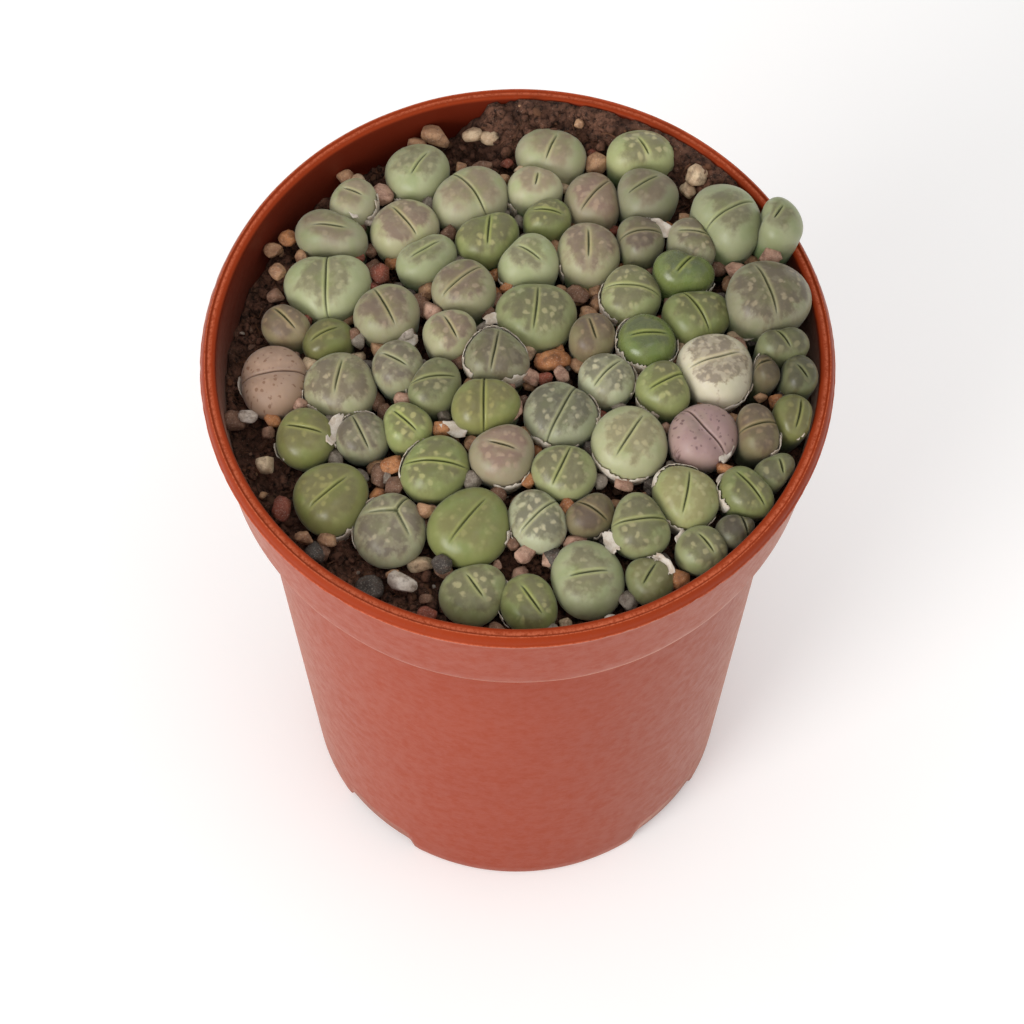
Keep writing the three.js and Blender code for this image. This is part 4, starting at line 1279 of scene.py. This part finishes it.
def scatter_crumbs(name, count, sizes, material, seed):
    """Many small grains that lie on the soil, as one piece."""
    rng = random.Random(seed)
    points = []
    faces = []
    for number in range(count):
        angle = rng.uniform(0, 2 * math.pi)
        radius = CRUMB_REACH * math.sqrt(rng.uniform(0.02, 1))
        x = radius * math.cos(angle)
        y = radius * math.sin(angle)
        size = rng.uniform(*sizes) * rng.uniform(0.6, 1)
        own = seed * 1000 + number % CRUMB_SHAPES
        fineness = 2 if size > 1.0 else 1
        wide = size * rng.uniform(0.6, 1)
        stone, stone_faces = stone_points(own, size, wide, size * 0.7, 0.35, fineness)
        stone = turned(stone, rng.uniform(0, 6.28), rng.uniform(-0.6, 0.6))
        height = soil_height(x, y) + 0.12 * size
        if radius + size / 2 > inner_wall(height) - 0.1:
            continue
        start = len(points)
        points.extend((stone + np.array((x, y, height))).tolist())
        faces.extend(tuple(corner + start for corner in face) for face in stone_faces)
    crumbs = make_object(name, points, faces, material)
    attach(crumbs, "root")


FIBRES = 420
FIBRE_SIDES = 5
FIBRE_STEP = 0.55
FIBRE_REACH = 38.8     # how far from the axis a fibre may get


def add_fibres(material):
    """Peat fibres and dead rootlets that lie across the soil."""
    rng = random.Random(77)
    points = []
    faces = []
    sides = FIBRE_SIDES
    for _ in range(FIBRES):
        angle = rng.uniform(0, 2 * math.pi)
        radius = 38.6 * math.sqrt(rng.uniform(0.3, 1))
        heading = rng.uniform(0, 2 * math.pi)
        x = radius * math.cos(angle)
        y = radius * math.sin(angle)
        thick = rng.uniform(0.05, 0.13)
        lift = rng.uniform(0.0, 0.5)
        path = []
        for _step in range(9):
            if math.hypot(x, y) > FIBRE_REACH:
                break
            path.append(Vector((x, y, soil_height(x, y) + 0.1 + lift * rng.uniform(0.4, 1))))
            heading += rng.uniform(-0.5, 0.5)
            x += FIBRE_STEP * math.cos(heading)
            y += FIBRE_STEP * math.sin(heading)
        if len(path) < 4:
            continue
        start = len(points)
        for step, point in enumerate(path):
            ahead = (path[min(step + 1, len(path) - 1)] - path[max(step - 1, 0)]).normalized()
            aside = ahead.cross(Vector((0, 0, 1))).normalized()
            up = aside.cross(ahead)
            for k in range(sides):
                turn = 2 * math.pi * k / sides
                points.append(tuple(point + (aside * math.cos(turn) + up * math.sin(turn)) * thick))
        faces.extend(tuple(corner + start for corner in face) for face in grid_faces(len(path), sides))
        faces.append(tuple(range(start, start + sides))[::-1])
        end = start + sides * (len(path) - 1)
        faces.append(tuple(range(end, end + sides)))
    fibres = make_object("peat_fibres", points, faces, material)
    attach(fibres, "root")


def fibre_material():
    shading = Shading("peat_fibre", roughness=0.85, specular=0.25)
    place = shading.position()
    tone = shading.noise(place, 0.35, 2.0)
    streak = shading.noise(place, 5.0, 3.0)
    color = shading.mix(shading.step(tone, 0.35, 0.65), rgb(92, 56, 38), rgb(48, 30, 22))
    color = shading.mix(shading.math("MULTIPLY", streak, 0.3), color, rgb(150, 112, 84))
    return shading.finish(color, shading.bump(streak, 0.4, 0.05))


# ---------------------------------------------------------------- everything

OLD_SKIN = paper_material()
HEADS = []

add_camera()
add_studio()
add_pot()
add_soil()
skins = {kind: skin_material(kind) for kind in KINDS}
for plant_index, plant_looks in enumerate(LOOKS):
    add_plant(f"lithops_{plant_index + 1:02d}", plant_looks, skins)
stones = {}
for color_name, (pale_tone, deep_tone) in GRIT_COLORS.items():
    stones[color_name] = stone_material("grit_" + color_name, pale_tone, deep_tone)
add_grit(stones)
add_wedged_grit(stones)
for shard_index, shard_values in enumerate(SHARDS):
    add_shard(f"old_leaf_flake_{shard_index + 1:02d}", *shard_values, 700 + shard_index)
add_cad_stone("stone_tan", "orange", stones)
add_cad_stone("stone_dark_grey", "dark", stones)
crumb_material = soil_material()
bark_material = fibre_material()
for crumb_layer in range(3):
    crumb_name = f"soil_crumbs_{crumb_layer + 1}"
    scatter_crumbs(crumb_name, 1900, (0.4, 2.2), crumb_material, 30 + crumb_layer)
scatter_crumbs("bark_crumbs", 900, (0.5, 1.8), bark_material, 8)
scatter_crumbs("small_grit_tan", 60, (0.8, 1.8), stones["tan"], 4)
scatter_crumbs("small_grit_white", 80, (0.4, 1.3), stones["white"], 5)
scatter_crumbs("small_grit_brown", 90, (0.7, 1.9), stones["brown"], 6)
add_fibres(bark_material)
